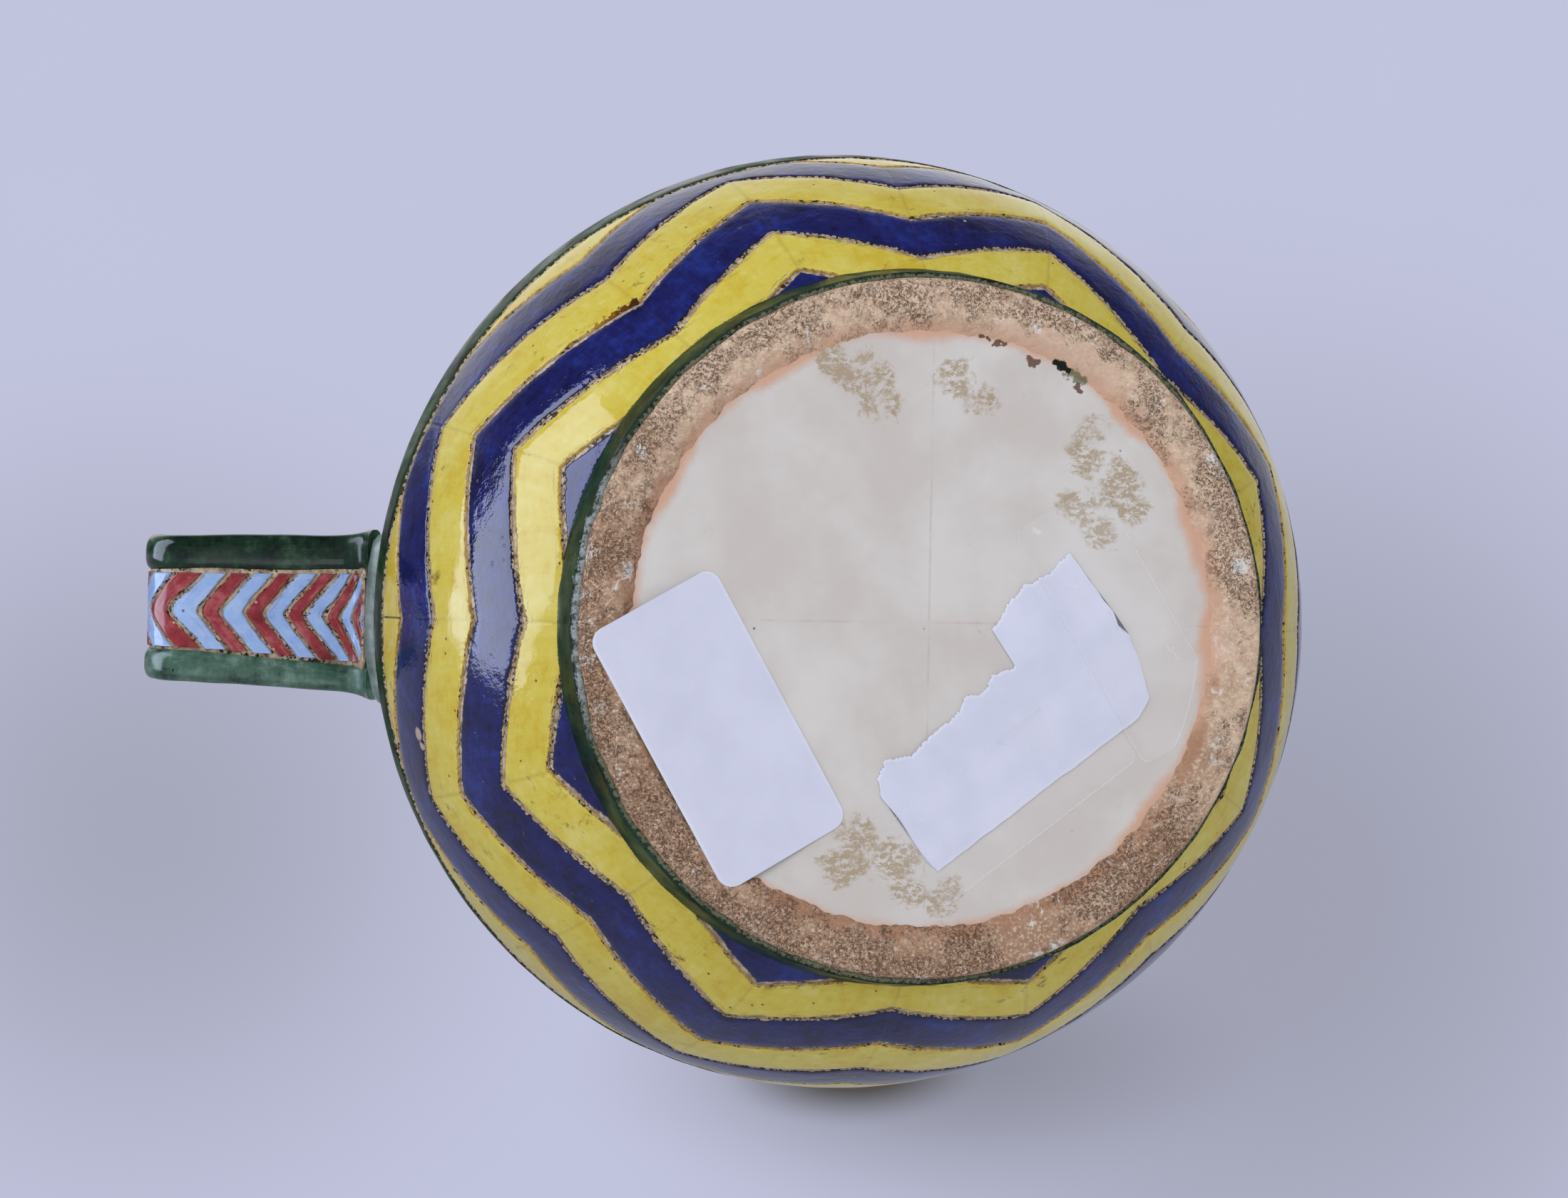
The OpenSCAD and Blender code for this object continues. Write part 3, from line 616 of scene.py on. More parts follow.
def glaze(name, coats, rim, pit, rough, dirt=0.5, shine=0.5, wave=0.05, marks=(), border=None, bare=BARE,
          slot="green_glaze"):
    """A mottled, smudged and wavy glaze; coats are its colours where it is even, thick and thin."""
    even, thick, thin = coats
    m = Finish(name, slot)
    tone, tick, edge = brushed_tone(m), m.attribute("tick"), m.attribute("edge")
    strip = [(crawled_strip(m), border)] if border else []
    smudge = m.clouds(260, 6, 0.72, 0.3).step(0.56, 0.7, dirt) * m.clouds(45, 2).step(0.48, 0.6)
    dragged = m.strokes(160, 1500, 4, 0.65).step(0.52, 0.66, dirt)
    dragged = dragged * edge.step(2.6, 0.3) * m.clouds(70).step(0.42, 0.56)
    speck = m.pits(560, 0.08, 0.2)
    colour = layered(tone.step(0.4, 0.51).mix(thick, even), (tone.step(0.5, 0.61), thin), (tick * 0.2, pit),
                     *edge_layers(m, edge, rim, bare), *strip, (smudge.larger(dragged).larger(speck), pit),
                     *mark_layers(m, marks))
    m.bump(m.clouds(150, 2), 0.3, 0.3)
    m.bump(m.clouds(420, 3, 0.6), wave, 0.5)
    m.bump(speck.larger(tick * 0.6), -0.08, 0.6)
    gloss = m.clouds(120, 4).step(0.3, 0.8, rough * 2, rough * 0.5)
    return m.done(colour, gloss, {"Specular IOR Level": shine})


BLUE = glaze("blue_glaze", ((25, 28, 88), (15, 16, 58), (32, 46, 120)), (34, 32, 48), (58, 54, 70),
             rough=0.07, wave=0.22, marks=BLUE_MARKS, slot="blue_glaze")
YELLOW = glaze("yellow_glaze", ((208, 191, 82), (202, 177, 60), (214, 201, 110)), (178, 142, 60),
               (122, 86, 38), rough=0.08, dirt=0.9, shine=0.32, marks=YELLOW_MARKS, slot="yellow_glaze")
RED = glaze("red_glaze", ((142, 44, 51), (106, 22, 30), (174, 86, 90)), (120, 66, 58),
            (206, 150, 142), rough=0.13, dirt=0.4, slot="red_glaze")
PALE_BLUE = glaze("pale_blue_glaze", ((150, 180, 228), (132, 163, 217), (168, 192, 232)),
                  (136, 144, 178), (112, 100, 140), rough=0.11, slot="light_blue_glaze")
GREEN = glaze("green_glaze", ((32, 60, 42), (14, 30, 22), (58, 90, 68)), GREEN_RIM, (24, 30, 26),
              rough=0.1, dirt=0.6)
BAND_GREEN = glaze("band_green_glaze", ((32, 56, 34), (16, 30, 20), (56, 82, 54)), (58, 62, 40),
                   (24, 30, 26), rough=0.24, dirt=0.6, shine=0.02)
# Painted sheen: a paler, greyer copy of the handle's green that stands for the highlights along the lower
# root.
ROOT_GREEN_PAINTED_SHEEN = glaze("root_green_painted_sheen_glaze", ((108, 124, 117), (72, 90, 82), (158, 166, 164)), GREEN_RIM,
                   (28, 38, 36), rough=0.3, dirt=0.6)
HANDLE_GREEN = glaze("handle_green_glaze", ((21, 46, 30), (7, 15, 12), (50, 82, 60)), GREEN_RIM,
                     (16, 20, 26), rough=0.2, dirt=0.8, shine=0.45)
# Painted sheen: a paler copy of the handle's green for the right rib, standing for the pale reflection along
# it.
SHEEN_RIB_GREEN = glaze("sheen_rib_green_glaze", ((64, 97, 81), (30, 54, 44), (104, 132, 120)), GREEN_RIM,
                   (20, 24, 30), rough=0.22, dirt=0.7)
FOOT_GREEN = glaze("foot_green_glaze", ((24, 52, 36), (13, 30, 22), (42, 72, 56)), (44, 60, 50),
                   (16, 26, 22), rough=0.3, dirt=0.6, shine=0.03, border=(150, 156, 158),
                   bare=(104, 104, 82))


# Clay and the cream glazes

# White lime, cleaner stretches and smooth pink slip on the foot, as x, y and reach
LIMES = ((59.6, -12.5, 3.6), (58.8, -15.5, 3.2), (53.7, -32.2, 3.2), (55, -29.5, 2.6), (25.6, 57.6, 3.6),
         (22, 58.8, 3), (-62.7, -5.5, 2.8), (-62.4, 6.6, 3.2), (-53.5, -31, 3.2), (-61, -13, 2.6))
CLEAN = ((61, 6, 16), (56, 24, 14), (22, 57, 12))
SLIPS = ((14.5, -54.1, 5), (21.8, -52, 6), (28.3, -49.4, 6), (33, -46.5, 5), (55.8, 3, 4))
# Olive stains and pink flashing on the base
STAINS = ((-17.5, -48.8, 7), (-13, -47.5, 8), (-10, -46.5, 8), (-9, -41.5, 7), (4.4, -46, 6), (7, -44, 6),
          (9.7, -42.2, 6), (31, -37, 6), (30, -31.4, 7), (36.4, -27, 8), (29.5, -22.3, 8), (32.4, -18.6, 7),
          (39, -23, 6), (-12, 37.3, 7), (-13.6, 43.4, 8), (-4.4, 42.3, 8), (-2, 48.5, 7), (5, 49.1, 7))
FLASHES = ((52, -18, 14), (54, 2, 10), (-47, -26, 12), (0, -54, 9), (-54, 2, 10), (44, 34, 12), (-28, -47, 9),
           (38, -40, 8))
# Glaze drips and chips where the base meets the foot
GREEN_HAZE = ((28.8, -46.4, 1.3), (27.8, -47.1, 1.5), (26.6, -48, 1.6))
GREEN_DROP = ((24, -49.7, 1.3), (25, -49.1, 1.4), (26, -48.5, 1.1))
CHIPS = ((12.4, -52.7, 0.9), (13.2, -52.3, 0.8), (19.2, -50, 1.1), (20.4, -49.4, 1.1), (28.4, -44.9, 1),
         (9.4, -53.7, 0.7), (10.6, -53.5, 0.7))


def clay_line_finish():
    """Bare clay in the incised lines, with dirt caught in them."""
    m = Finish("clay_lines", "bare_clay")
    tone = m.clouds(480)
    colour = tone.step(0.35, 0.65).mix((150, 128, 102), (200, 182, 154))
    dirt = m.clouds(1100, 2, 0.6).step(0.5, 0.58) * m.clouds(70).step(0.42, 0.58, low=0.1)
    m.bump(tone, 0.3, 0.7)
    return m.done(dirt.mix(colour, (36, 28, 22)), 0.75)


def scorch(m, most):
    """From 0 to the most, towards the side that the kiln has browned."""
    return m.jug.vector("DOT_PRODUCT", (-0.35, 0.8, 0)).step(-30, 22, most)


def spill_layers(m):
    """Ragged drips and chips."""
    swirl = m.put("TexNoise", {"Vector": m.jug, "Scale": 520 * MM, "Detail": 4.0}, "Color")
    near = m.jug.vector("ADD", swirl.vector("SUBTRACT", (0.5, 0.5, 0.5)).vector("MULTIPLY", (4, 4, 0)))
    for spots, most, tint in ((GREEN_HAZE, 0.75, (70, 92, 54)), (GREEN_DROP, 1.0, (16, 24, 12)),
                              (CHIPS, 0.9, (96, 60, 40))):
        yield m.spots(spots, near).step(0.1, 0.5, most), tint


def foot_clay_finish():
    """Tan clay with pale grains, brown crevices, white lime and a smoother pink bevel."""
    m = Finish("foot_clay", "bare_clay")
    grain, lumps, drift = m.clouds(1500, 4, 0.75), m.clouds(420, 5, 0.68), m.clouds(75, 5, 0.62)
    r, scorched = m.jug.away_from(), scorch(m, 0.36) + drift
    bevel = (r + lumps * 3).step(BEVEL_R + 1.2, BEVEL_R - 0.2, 0.8)
    bevel = bevel * m.clouds(120, 5, 0.7).step(0.38, 0.54, low=0.1)
    pink = scorched.step(0.35, 0.8).mix((220, 181, 153), (170, 126, 98))
    slip = (m.spots(SLIPS) + lumps * 0.5).step(0.62, 0.7)
    lime = m.clouds(150, 7, 0.76, 0.5) + lumps * 0.3 + m.spots(LIMES) * 0.2
    crack = (m.clouds(560, 4, 0.65, 1.5) - 0.5).absolute().step(0.034, 0.01)
    grit = m.clouds(1600, 3, 0.75).step(0.53, 0.62)
    gritty = m.clouds(95, 8, 0.8) + scorch(m, 0.02) + r.step(58, 61, 0.05)
    gritty = gritty - m.spots(CLEAN) * 0.12 - slip * 0.3
    dark = crack.larger(grit) * gritty.step(0.47, 0.57)
    fringe = (r + drift * 2).step(58, 55.2, 0.8) * scorched.step(0.8, 0.5)
    colour = layered(lumps.step(0.36, 0.64).mix((197, 165, 140), (224, 197, 169)),
                     (scorched.step(0.5, 0.95, 0.9), (160, 122, 94)),
                     (grain.step(0.5, 0.62, 0.66), (236, 215, 188)), (bevel, pink),
                     (slip * 0.55, (218, 184, 162)), (lime.step(0.74, 0.81, 0.85), (228, 224, 217)),
                     (dark * 0.9, (98, 66, 44)), (fringe, (217, 172, 143)), *spill_layers(m))
    for height, distance, strength in ((grain, 0.3, 0.7), (lumps, 0.6, 0.6), (dark, -0.25, 0.7)):
        m.bump(height, distance, strength)
    return m.done(colour, 0.88)


def guide_lines(m, fade):
    """Two faint scored lines that cross on the base."""
    x, lines = m.put("SeparateXYZ", {0: m.jug}), 0.0
    for side, off in ((x, 0.8), (x.other(1), -1.2)):
        lines = (side - off).absolute().step(0.3, 0.1).larger(lines)
    return lines * fade.step(0.4, 0.62, 0.3)


def base_cream_finish():
    """Cream glaze with pink flashing at its edge, scraped olive stains, guide lines and specks."""
    m = Finish("base_cream", "cream_glaze")
    uneven = m.clouds(160, 5, 0.65)
    r = m.jug.away_from() + uneven * 4 + m.spots(FLASHES) * 1.6
    blotch = m.clouds(150, 8, 0.74, 0.4) + m.spots(STAINS) * 0.25
    scraped = m.put("Mapping", {"Vector": m.jug, "Rotation": (0, 0, 0.5), "Scale": (800, 1300, 900)})
    stain = blotch.step(0.64, 0.76) * m.clouds(1.0, 4, 0.7, on=scraped).step(0.4, 0.52)
    colour = layered(m.clouds(42, 4).step(0.32, 0.68).mix((205, 197, 190), (217, 213, 208)),
                     (r.step(55, 57.8, 0.85), (212, 162, 130)), (stain * 0.75, (162, 138, 98)),
                     (guide_lines(m, uneven), (178, 158, 138)), (m.pits(190, 0.07, 0.075), (96, 70, 52)),
                     *spill_layers(m))
    m.bump(uneven, 0.25, 0.3)
    return m.done(colour, stain.step(0, 1, 0.55, 0.16))


def inner_cream_finish():
    m = Finish("inner_cream", "cream_glaze")
    colour = m.clouds(40, 4).step(0.35, 0.65).mix((204, 196, 182), (226, 220, 208))
    colour = m.pits(260, 0.12, 0.14).mix(colour, (110, 84, 62))
    m.bump(m.clouds(120, 2), 0.3, 0.3)
    return m.done(colour, 0.16)


def paper_finish(name, light, shade):
    m = Finish(name, "paper")
    fibre = m.clouds(900, 4, 0.7)
    colour = m.clouds(90).step(0.3, 0.7).mix(shade, light)
    torn = m.attribute("edge").step(0.9, 0.1, 0.6)
    m.bump(fibre, 0.06, 0.5)
    return m.done((torn * fibre).mix(colour, (240, 240, 244)), 0.55)


def tape_finish():
    """Almost all see-through, with milky edges and trapped air."""
    m = Finish("clear_tape", "clear_tape")
    milky = m.attribute("edge").step(0.35, 0.05, 0.25)
    air = m.clouds(120, 3, 0.5, 1.2).step(0.68, 0.72, 0.3)
    m.bump(m.clouds(110, 2), 0.3, 0.5)
    colour = m.clouds(60).mix((226, 224, 222), (240, 240, 244))
    return m.done(colour, 0.12, {"Alpha": milky.larger(air) + 0.07})


CLAY = clay_line_finish()
FOOT_CLAY = foot_clay_finish()
BASE_CREAM = base_cream_finish()
INNER_CREAM = inner_cream_finish()
LABEL_PAPER = paper_finish("label_paper", (214, 216, 233), (208, 210, 228))
NOTE_PAPER = paper_finish("note_paper", (217, 219, 236), (208, 211, 229))
TAPE = tape_finish()


# Turned pieces

def angle_up(height, radius):
    """Where a circle reaches a height above its centre, in degrees."""
    return degrees(asin(height / radius))


AXIS_R = 0.05
FOOT_ANGLE = -52
INNER_BALL_R = BALL_R - WALL
INNER_DOME_R = DOME_R - WALL
INNER_BELLY = angle_up(BELLY_Z - BALL_Z, INNER_BALL_R)
INNER_CROWN = degrees(acos((NECK_R - NECK_WALL - DOME_C) / INNER_DOME_R))
BALL_C = (0, BALL_Z)
SHOULDER_C = (DOME_C, BELLY_Z)


def lathe_mesh(profile, count=384, push=False, wobble=0.0):
    """A closed section of (radius, height) points, turned round; push draws the lip out of it."""
    theta = columns(count)[:, None]
    r, z = np.array(profile).T[:, None, :]
    r = r + wobble * ring_noise(theta, 1, 2, 7)
    if push:
        r = r + lip_push(theta, z)
    across = np.linspace(0, 20, len(profile))
    return loop_mesh(round_axis(theta, r, z), True, along=theta * NECK_R, across=across, edge=FAR_FROM_EDGE)


def arc(centre, radius, start, end, count):
    """Points on an arc, its angles in degrees from the outward direction."""
    a = np.radians(np.linspace(start, end, count))
    return [(centre[0] + radius * cos(t), centre[1] + radius * sin(t)) for t in a]


def inner_neck(heights):
    return [(neck_wall_r(z, NECK_WALL), z) for z in heights]


def build_clay():
    bowl = arc(BALL_C, BALL_R, FOOT_ANGLE, angle_up(BELLY_Z - BALL_Z, BALL_R), 60)
    bowl += arc(BALL_C, INNER_BALL_R, INNER_BELLY, FOOT_ANGLE, 40)
    make_piece("bowl_clay", lathe_mesh(bowl), CLAY, "lower_bowl")
    dome = arc(SHOULDER_C, DOME_R, 0, angle_up(NECK_Z - BELLY_Z, DOME_R), 50)
    dome += arc(SHOULDER_C, INNER_DOME_R, INNER_CROWN, 0, 40)
    make_piece("shoulder_clay", lathe_mesh(dome), CLAY, "shoulder")
    heights = np.concatenate([np.linspace(NECK_Z, FLARE_Z, 40), np.linspace(FLARE_Z, NECK_TOP, 14)[1:]])
    wall = [(neck_wall_r(z), z) for z in heights] + inner_neck(heights[::-1])
    make_piece("neck_clay", lathe_mesh(wall, push=True), CLAY, "neck")


def build_inner_glaze():
    """A thin skin over the floor, ball, shoulder and neck."""
    wall = [(AXIS_R, FLOOR_Z)]
    wall += arc(BALL_C, INNER_BALL_R, angle_up(FLOOR_Z - BALL_Z, INNER_BALL_R), INNER_BELLY, 40)
    wall += arc(SHOULDER_C, INNER_DOME_R, 0, INNER_CROWN, 40)[1:]
    wall += inner_neck(np.linspace(NECK_Z, NECK_TOP, 40))
    r, z = np.array(wall).T
    run, rise = np.gradient(r), np.gradient(z)
    depth = GLAZE_T / np.hypot(run, rise)
    face = list(zip(np.maximum(r - depth * rise, AXIS_R), z + depth * run))
    make_piece("inner_cream", lathe_mesh(wall + face[::-1], push=True), INNER_CREAM, "inner_glaze")


def build_beads():
    bead = arc(BEAD_AT, BEAD_R, 0, 348, 30)
    make_piece("neck_bead_green", lathe_mesh(bead, wobble=0.15), GREEN, "neck_bead")
    rim = arc(((RIM_IN + RIM_OUT) / 2, NECK_TOP), RIM_TOP - NECK_TOP, -25, 205, 26)
    make_piece("rim_green", lathe_mesh(rim, push=True), GREEN, "rim_bead")


# Where the foot's coat stops higher: by how much, at which turn, and how narrow the stretch is
BARE_STRETCHES = ((2.6, 0.35, 1), (0.9, 4.1, 1.6))


def foot_section():
    """From the ball down the wall, along the standing face and up the bevel."""
    wall = [(FOOT_TOP_R - 1.5, FOOT_H + 2.2), (FOOT_TOP_R - 0.2, FOOT_H)]
    wall += [(foot_wall_r(z), z) for z in np.linspace(FOOT_H, 1.1, 9)[1:]]
    corner = arc((FOOT_R - 1, 1), 1, 0, -90, 7)
    face = [(r, 0.0) for r in np.linspace(FOOT_R - 1.3, BEVEL_R, 18)]
    t = np.linspace(0, 1, 12)[1:]
    bevel = zip(BEVEL_R + (RECESS_R - BEVEL_R) * t, (RECESS_D + 0.3) * (0.45 * t + 0.55 * t ** 2))
    back = [(RECESS_R, BASE_Z + 1.5), (RECESS_R + 4, BASE_Z + 3)]
    return wall + corner + face + list(bevel) + back


def under_label(points):
    """1 where the clay makes room for the label."""
    u, v = turned(points[:, 0] - LABEL_AT[0], points[:, 1] - LABEL_AT[1], -LABEL_ANGLE)
    return smooth(LABEL_L / 2 + 1 - np.abs(u)) * smooth(LABEL_W / 2 + 1 - np.abs(v))


def lumpy(points, scale):
    """Noise at each point, with scale lumps to a metre."""
    return np.array([noise.noise(Vector(p) * scale * MM) for p in points])


def build_foot():
    """The foot ring, rough where it stands and along its bevel, and its coat."""
    points, faces, attributes = lathe_mesh(foot_section(), 1100)
    rough = 0.16 * lumpy(points, 260) + 0.12 * lumpy(points, 900)
    lumps = 0.32 * lumpy(points, 650)
    standing = points[:, 2] < RECESS_D
    points[:, 2] += np.where(standing, np.abs(rough) + under_label(points) * 0.3, 0)
    theta, r = np.arctan2(points[:, 1], points[:, 0]), np.hypot(points[:, 0], points[:, 1])
    stray = lumps + 0.22 * ring_noise(theta, 35, 4, 60)
    points[:, :2] *= (1 + np.where(r < BEVEL_R, stray * smooth((BEVEL_R - r) / 2), 0) / r)[:, None]
    make_piece("foot_clay", (points, faces, attributes), FOOT_CLAY, "foot_ring")
    low, high = 1 + 0.45 * ring_noise(THETA, 31, 6, 60), FOOT_H + 0.45
    for rise, turn, narrow in BARE_STRETCHES:
        low = low + rise * smooth(np.cos(THETA - turn) * 3 - narrow)
    field("foot_green", on_foot, low, high, 1.0, FOOT_R, 33, FOOT_GREEN, "foot_glaze", FOOT_GLAZE_T)


def base_height(x, y):
    """A slight dish with hand-smoothed waves and a fillet at its edge."""
    r, fillet_w = np.hypot(x, y), 2.5
    dish = 0.25 * (1 - (r / RECESS_R) ** 2)
    fillet = -0.1 * smooth((r - (RECESS_R - fillet_w)) / fillet_w) ** 2
    return RECESS_D + dish + fillet + 0.05 * ripple(x, y, 41, 8, 30)


def build_base():
    theta = columns(360)[:, None]
    r = np.linspace(AXIS_R, RECESS_R + 1.8, 110)[None, :]
    face = round_axis(theta, r, 0)
    face[..., 2] = base_height(face[..., 0], face[..., 1])
    back = round_axis(theta, r[:, ::-1], BASE_Z + 0.4)
    make_piece("base_cream", loop_mesh(np.concatenate([face, back], 1), True), BASE_CREAM, "base_glaze")


# Glaze on the body and neck

BALL_UNIT, DOME_UNIT = radians(BALL_R), radians(DOME_R)
STRIPES = ("blue_points", "yellow_inner", "blue_inner", "yellow_outer", "blue_outer", "yellow_points")
NECK_NODES = ("neck_red_foot", "neck_blue_lower", "neck_red_middle", "neck_blue_upper", "neck_red_top")


def half_line(unit, slope=0.9):
    """Half an incised line's width along a meridian, in steps of unit."""
    return LINE_W / 2 / slope / unit


def stripe_fields(nodes, finishes, place, borders, unit, gap, radius, seed):
    """Fields between neighbouring borders and within the outer ones, in two finishes by turns."""
    for k, node in enumerate(nodes):
        low = np.maximum(borders[k], borders[0]) + gap
        high = np.minimum(borders[k + 1], borders[-1]) - gap
        field(node + "_coat", place, low, high, unit, radius, seed + 20 * k, finishes[k % 2], node)


def build_ball_fields():
    gap = half_line(BALL_UNIT)
    foot = angle_up(FOOT_TOP_R, BALL_R) + 0.15
    borders = [foot - gap] + [ball_line(i) for i in BODY_LINES] + [band_edge()]
    nodes = ["lower_" + stripe for stripe in STRIPES]
    stripe_fields(nodes, (BLUE, YELLOW), on_ball, borders, BALL_UNIT, gap, BALL_R, 500)


def build_belly_band():
    edge = np.radians(band_edge() + half_line(BALL_UNIT))
    low, high = BALL_Z - BALL_R * np.cos(edge), BELLY_Z + BAND_ABOVE
    field("belly_green", on_belly, low, high, 1.0, BELLY_R, 640, BAND_GREEN, "belly_band", BAND_T)


def build_dome_fields():
    gap = half_line(DOME_UNIT)
    borders = [DOME_FIRST] + [dome_line(i) for i in BODY_LINES] + [DOME_END + gap]
    nodes = ["upper_" + stripe for stripe in reversed(STRIPES)]
    stripe_fields(nodes, (YELLOW, BLUE), on_dome, borders, DOME_UNIT, gap, DOME_R, 700)


def build_neck_fields():
    gap = half_line(1.0, 0.88)
    borders = [NECK_LOW - gap] + [neck_line(i) for i in NECK_LINES] + [NECK_HIGH + gap]
    stripe_fields(NECK_NODES, (RED, PALE_BLUE), on_neck, borders, 1.0, gap, NECK_R, 840)
    low, high = FLARE_Z + LINE_W / 2, NECK_TOP - 0.2
    field("collar_green", on_neck, low, high, 1.0, NECK_R, 960, GREEN, "collar_glaze")


def build_lip():
    """A spade shape from the collar down to the lip's foot."""
    theta = np.linspace(-0.86, 0.86, 161) * LIP_HALF
    low = LIP_FOOT_Z + 3 + (FLARE_Z - LIP_FOOT_Z) * (np.abs(theta) / LIP_HALF) ** 1.6
    high = NECK_TOP - 0.1 + 0 * theta
    data = field_mesh(on_neck, theta, low, high, 970, LIP_GLAZE_T, along=theta * NECK_R)
    make_piece("lip_green", data, GREEN, "pouring_lip")


# Handle

BEND_1 = ROOT_RUN + ROOT_BEND * pi / 2
RUN_LOWER = OUTER_RHO - ELBOW_BEND - STRAP_RHO - ROOT_BEND
BEND_2 = BEND_1 + RUN_LOWER + ELBOW_BEND * pi / 2
RUN_OUTER = ARM_Z - TOP_BEND - LOWER_ARM_Z - ELBOW_BEND
BEND_3 = BEND_2 + RUN_OUTER + TOP_BEND * pi / 2
HANDLE_END = BEND_3 + OUTER_RHO - TOP_BEND - NECK_R
HANDLE_ROWS = 420
RIB_SQUARE = 0.7


def handle_path(s):
    """Distance from the axis, height and outward direction of the middle line, s from its lower root."""
    a1 = np.clip((s - ROOT_RUN) / ROOT_BEND, 0, pi / 2)
    a2 = np.clip((s - BEND_1 - RUN_LOWER) / ELBOW_BEND, 0, pi / 2)
    a3 = np.clip((s - BEND_2 - RUN_OUTER) / TOP_BEND, 0, pi / 2)
    run_0 = np.minimum(s, ROOT_RUN)
    run_1 = np.clip(s - BEND_1, 0, RUN_LOWER)
    run_2 = np.clip(s - BEND_2, 0, RUN_OUTER) + TOP_BEND * np.sin(a3)
    run_3 = np.maximum(s - BEND_3, 0) + TOP_BEND * (1 - np.cos(a3))
    rho = STRAP_RHO + ROOT_BEND * (1 - np.cos(a1)) + run_1 + ELBOW_BEND * np.sin(a2)
    rho = rho - run_3 - HANDLE_LEAN * run_2
    z = HANDLE_START_Z + run_0 + ROOT_BEND * np.sin(a1) + ELBOW_BEND * (1 - np.cos(a2)) + run_2
    heading = pi / 2 - a1 + a2 + a3
    return rho, z, np.sin(heading), -np.cos(heading)


def on_handle(y, s, d):
    """The point y to the side and d outwards of the handle's middle line."""
    rho, z, out_rho, out_z = handle_path(s)
    return np.stack(np.broadcast_arrays(-(rho + d * out_rho), y + swing(s), z + d * out_z), -1)


def swing(s):
    """How far the handle's middle line strays to the side."""
    return HANDLE_STRAY * smooth(s / BEND_2)


def toward_root(s):
    """0 from the handle's elbow on, 1 at its lower root."""
    return smooth((BEND_2 - s) / BEND_2)


def half_width(s):
    """The handle spreads towards its two roots."""
    lower = ARM_SPREAD * toward_root(s) + ROOT_SPREAD * np.exp(-(s / SPREAD_RUN) ** 2)
    return HANDLE_HALF_W + lower + END_SPREAD * np.exp(-((HANDLE_END - s) / SPREAD_RUN) ** 2)


def field_side(s, side):
    """Where the patterned field ends; it lies a little off the handle's middle."""
    half = FIELD_HALF_W + FIELD_SPREAD * toward_root(s)
    return side * half + FIELD_STRAY + ARM_FIELD_STRAY * toward_root(s)


def power(t, exponent):
    return np.sign(t) * np.abs(t) ** exponent


def rib_mesh(side):
    """A rounded bar along one side, thinner where it runs out on the body."""
    s = np.linspace(-2, HANDLE_END + 2, HANDLE_ROWS)[:, None]
    turn = np.linspace(0, 2 * pi, 36, endpoint=False)[None, :]
    inner, outer = field_side(s, side), side * half_width(s)
    half = np.abs(outer - inner) / 2
    wave = 1 + 0.03 * ripple(s, turn * half, 51 + side, 8, 40)
    depth = RIB_DEPTH * (0.5 + 0.5 * smooth((s + 2) / 9)) * wave * power(np.cos(turn), RIB_SQUARE)
    y = (inner + outer) / 2 + half * wave * power(np.sin(turn), RIB_SQUARE)
    return loop_mesh(on_handle(y, s, depth), False, along=s, across=turn * half, edge=FAR_FROM_EDGE)


def strap_mesh(inner, outer, past):
    """A slab between two depths, past the field on each side, with its lower end drawn in."""
    s = np.linspace(0.2, HANDLE_END + 1, HANDLE_ROWS)[:, None]
    share = np.array([0, 0.25, 0.5, 0.75, 1, 1, 0.75, 0.5, 0.25, 0])[None, :]
    depth = np.array([outer] * 5 + [inner] * 5)[None, :]
    past = past - 3 * np.exp(-(s / 2) ** 2)
    left, right = field_side(s, -1) - past, field_side(s, 1) + past
    y = left + (right - left) * share
    return loop_mesh(on_handle(y, s, depth), False, along=s, across=y + swing(s), edge=FAR_FROM_EDGE)


def chevron_tip(k):
    """Place of a red chevron's tip: they grow wider apart as far as the elbow."""
    grown = min(k, CHEVRONS_GROWN)
    pitch = CHEVRON_PITCH + 2 * CHEVRON_GROWTH * CHEVRONS_GROWN
    return CHEVRON_PITCH * grown + CHEVRON_GROWTH * grown ** 2 + pitch * (k - grown)


def chevron_mesh(start, end, seed):
    """The parts of one raised chevron within the field's ends."""
    at = max(start, 0.0)
    left, right = field_side(at, -1) + CHEVRON_LINE / 2, field_side(at, 1) - CHEVRON_LINE / 2
    y = np.linspace(left, right, 49)
    off = y - (left + right) / 2
    back = CHEVRON_SLANT * (np.sqrt(off ** 2 + CHEVRON_TIP_R ** 2) - CHEVRON_TIP_R)
    wander = 0.12 * ripple(y, start, seed, 2, 8)
    first = FIELD_START + FIELD_START_LAG * (off / FIELD_START_HALF_W) ** 4
    low = np.maximum(start + CHEVRON_LINE / 2 - back + wander, first)
    high = np.minimum(end - CHEVRON_LINE / 2 - back - wander, HANDLE_END - FIELD_STOP)
    return [field_mesh(lambda u, v, h: on_handle(u, v, STRAP_FACE + h), y[a:b], low[a:b], high[a:b], seed,
                       along=y[a:b] + start) for a, b in runs_of(high - low > 0.3)]


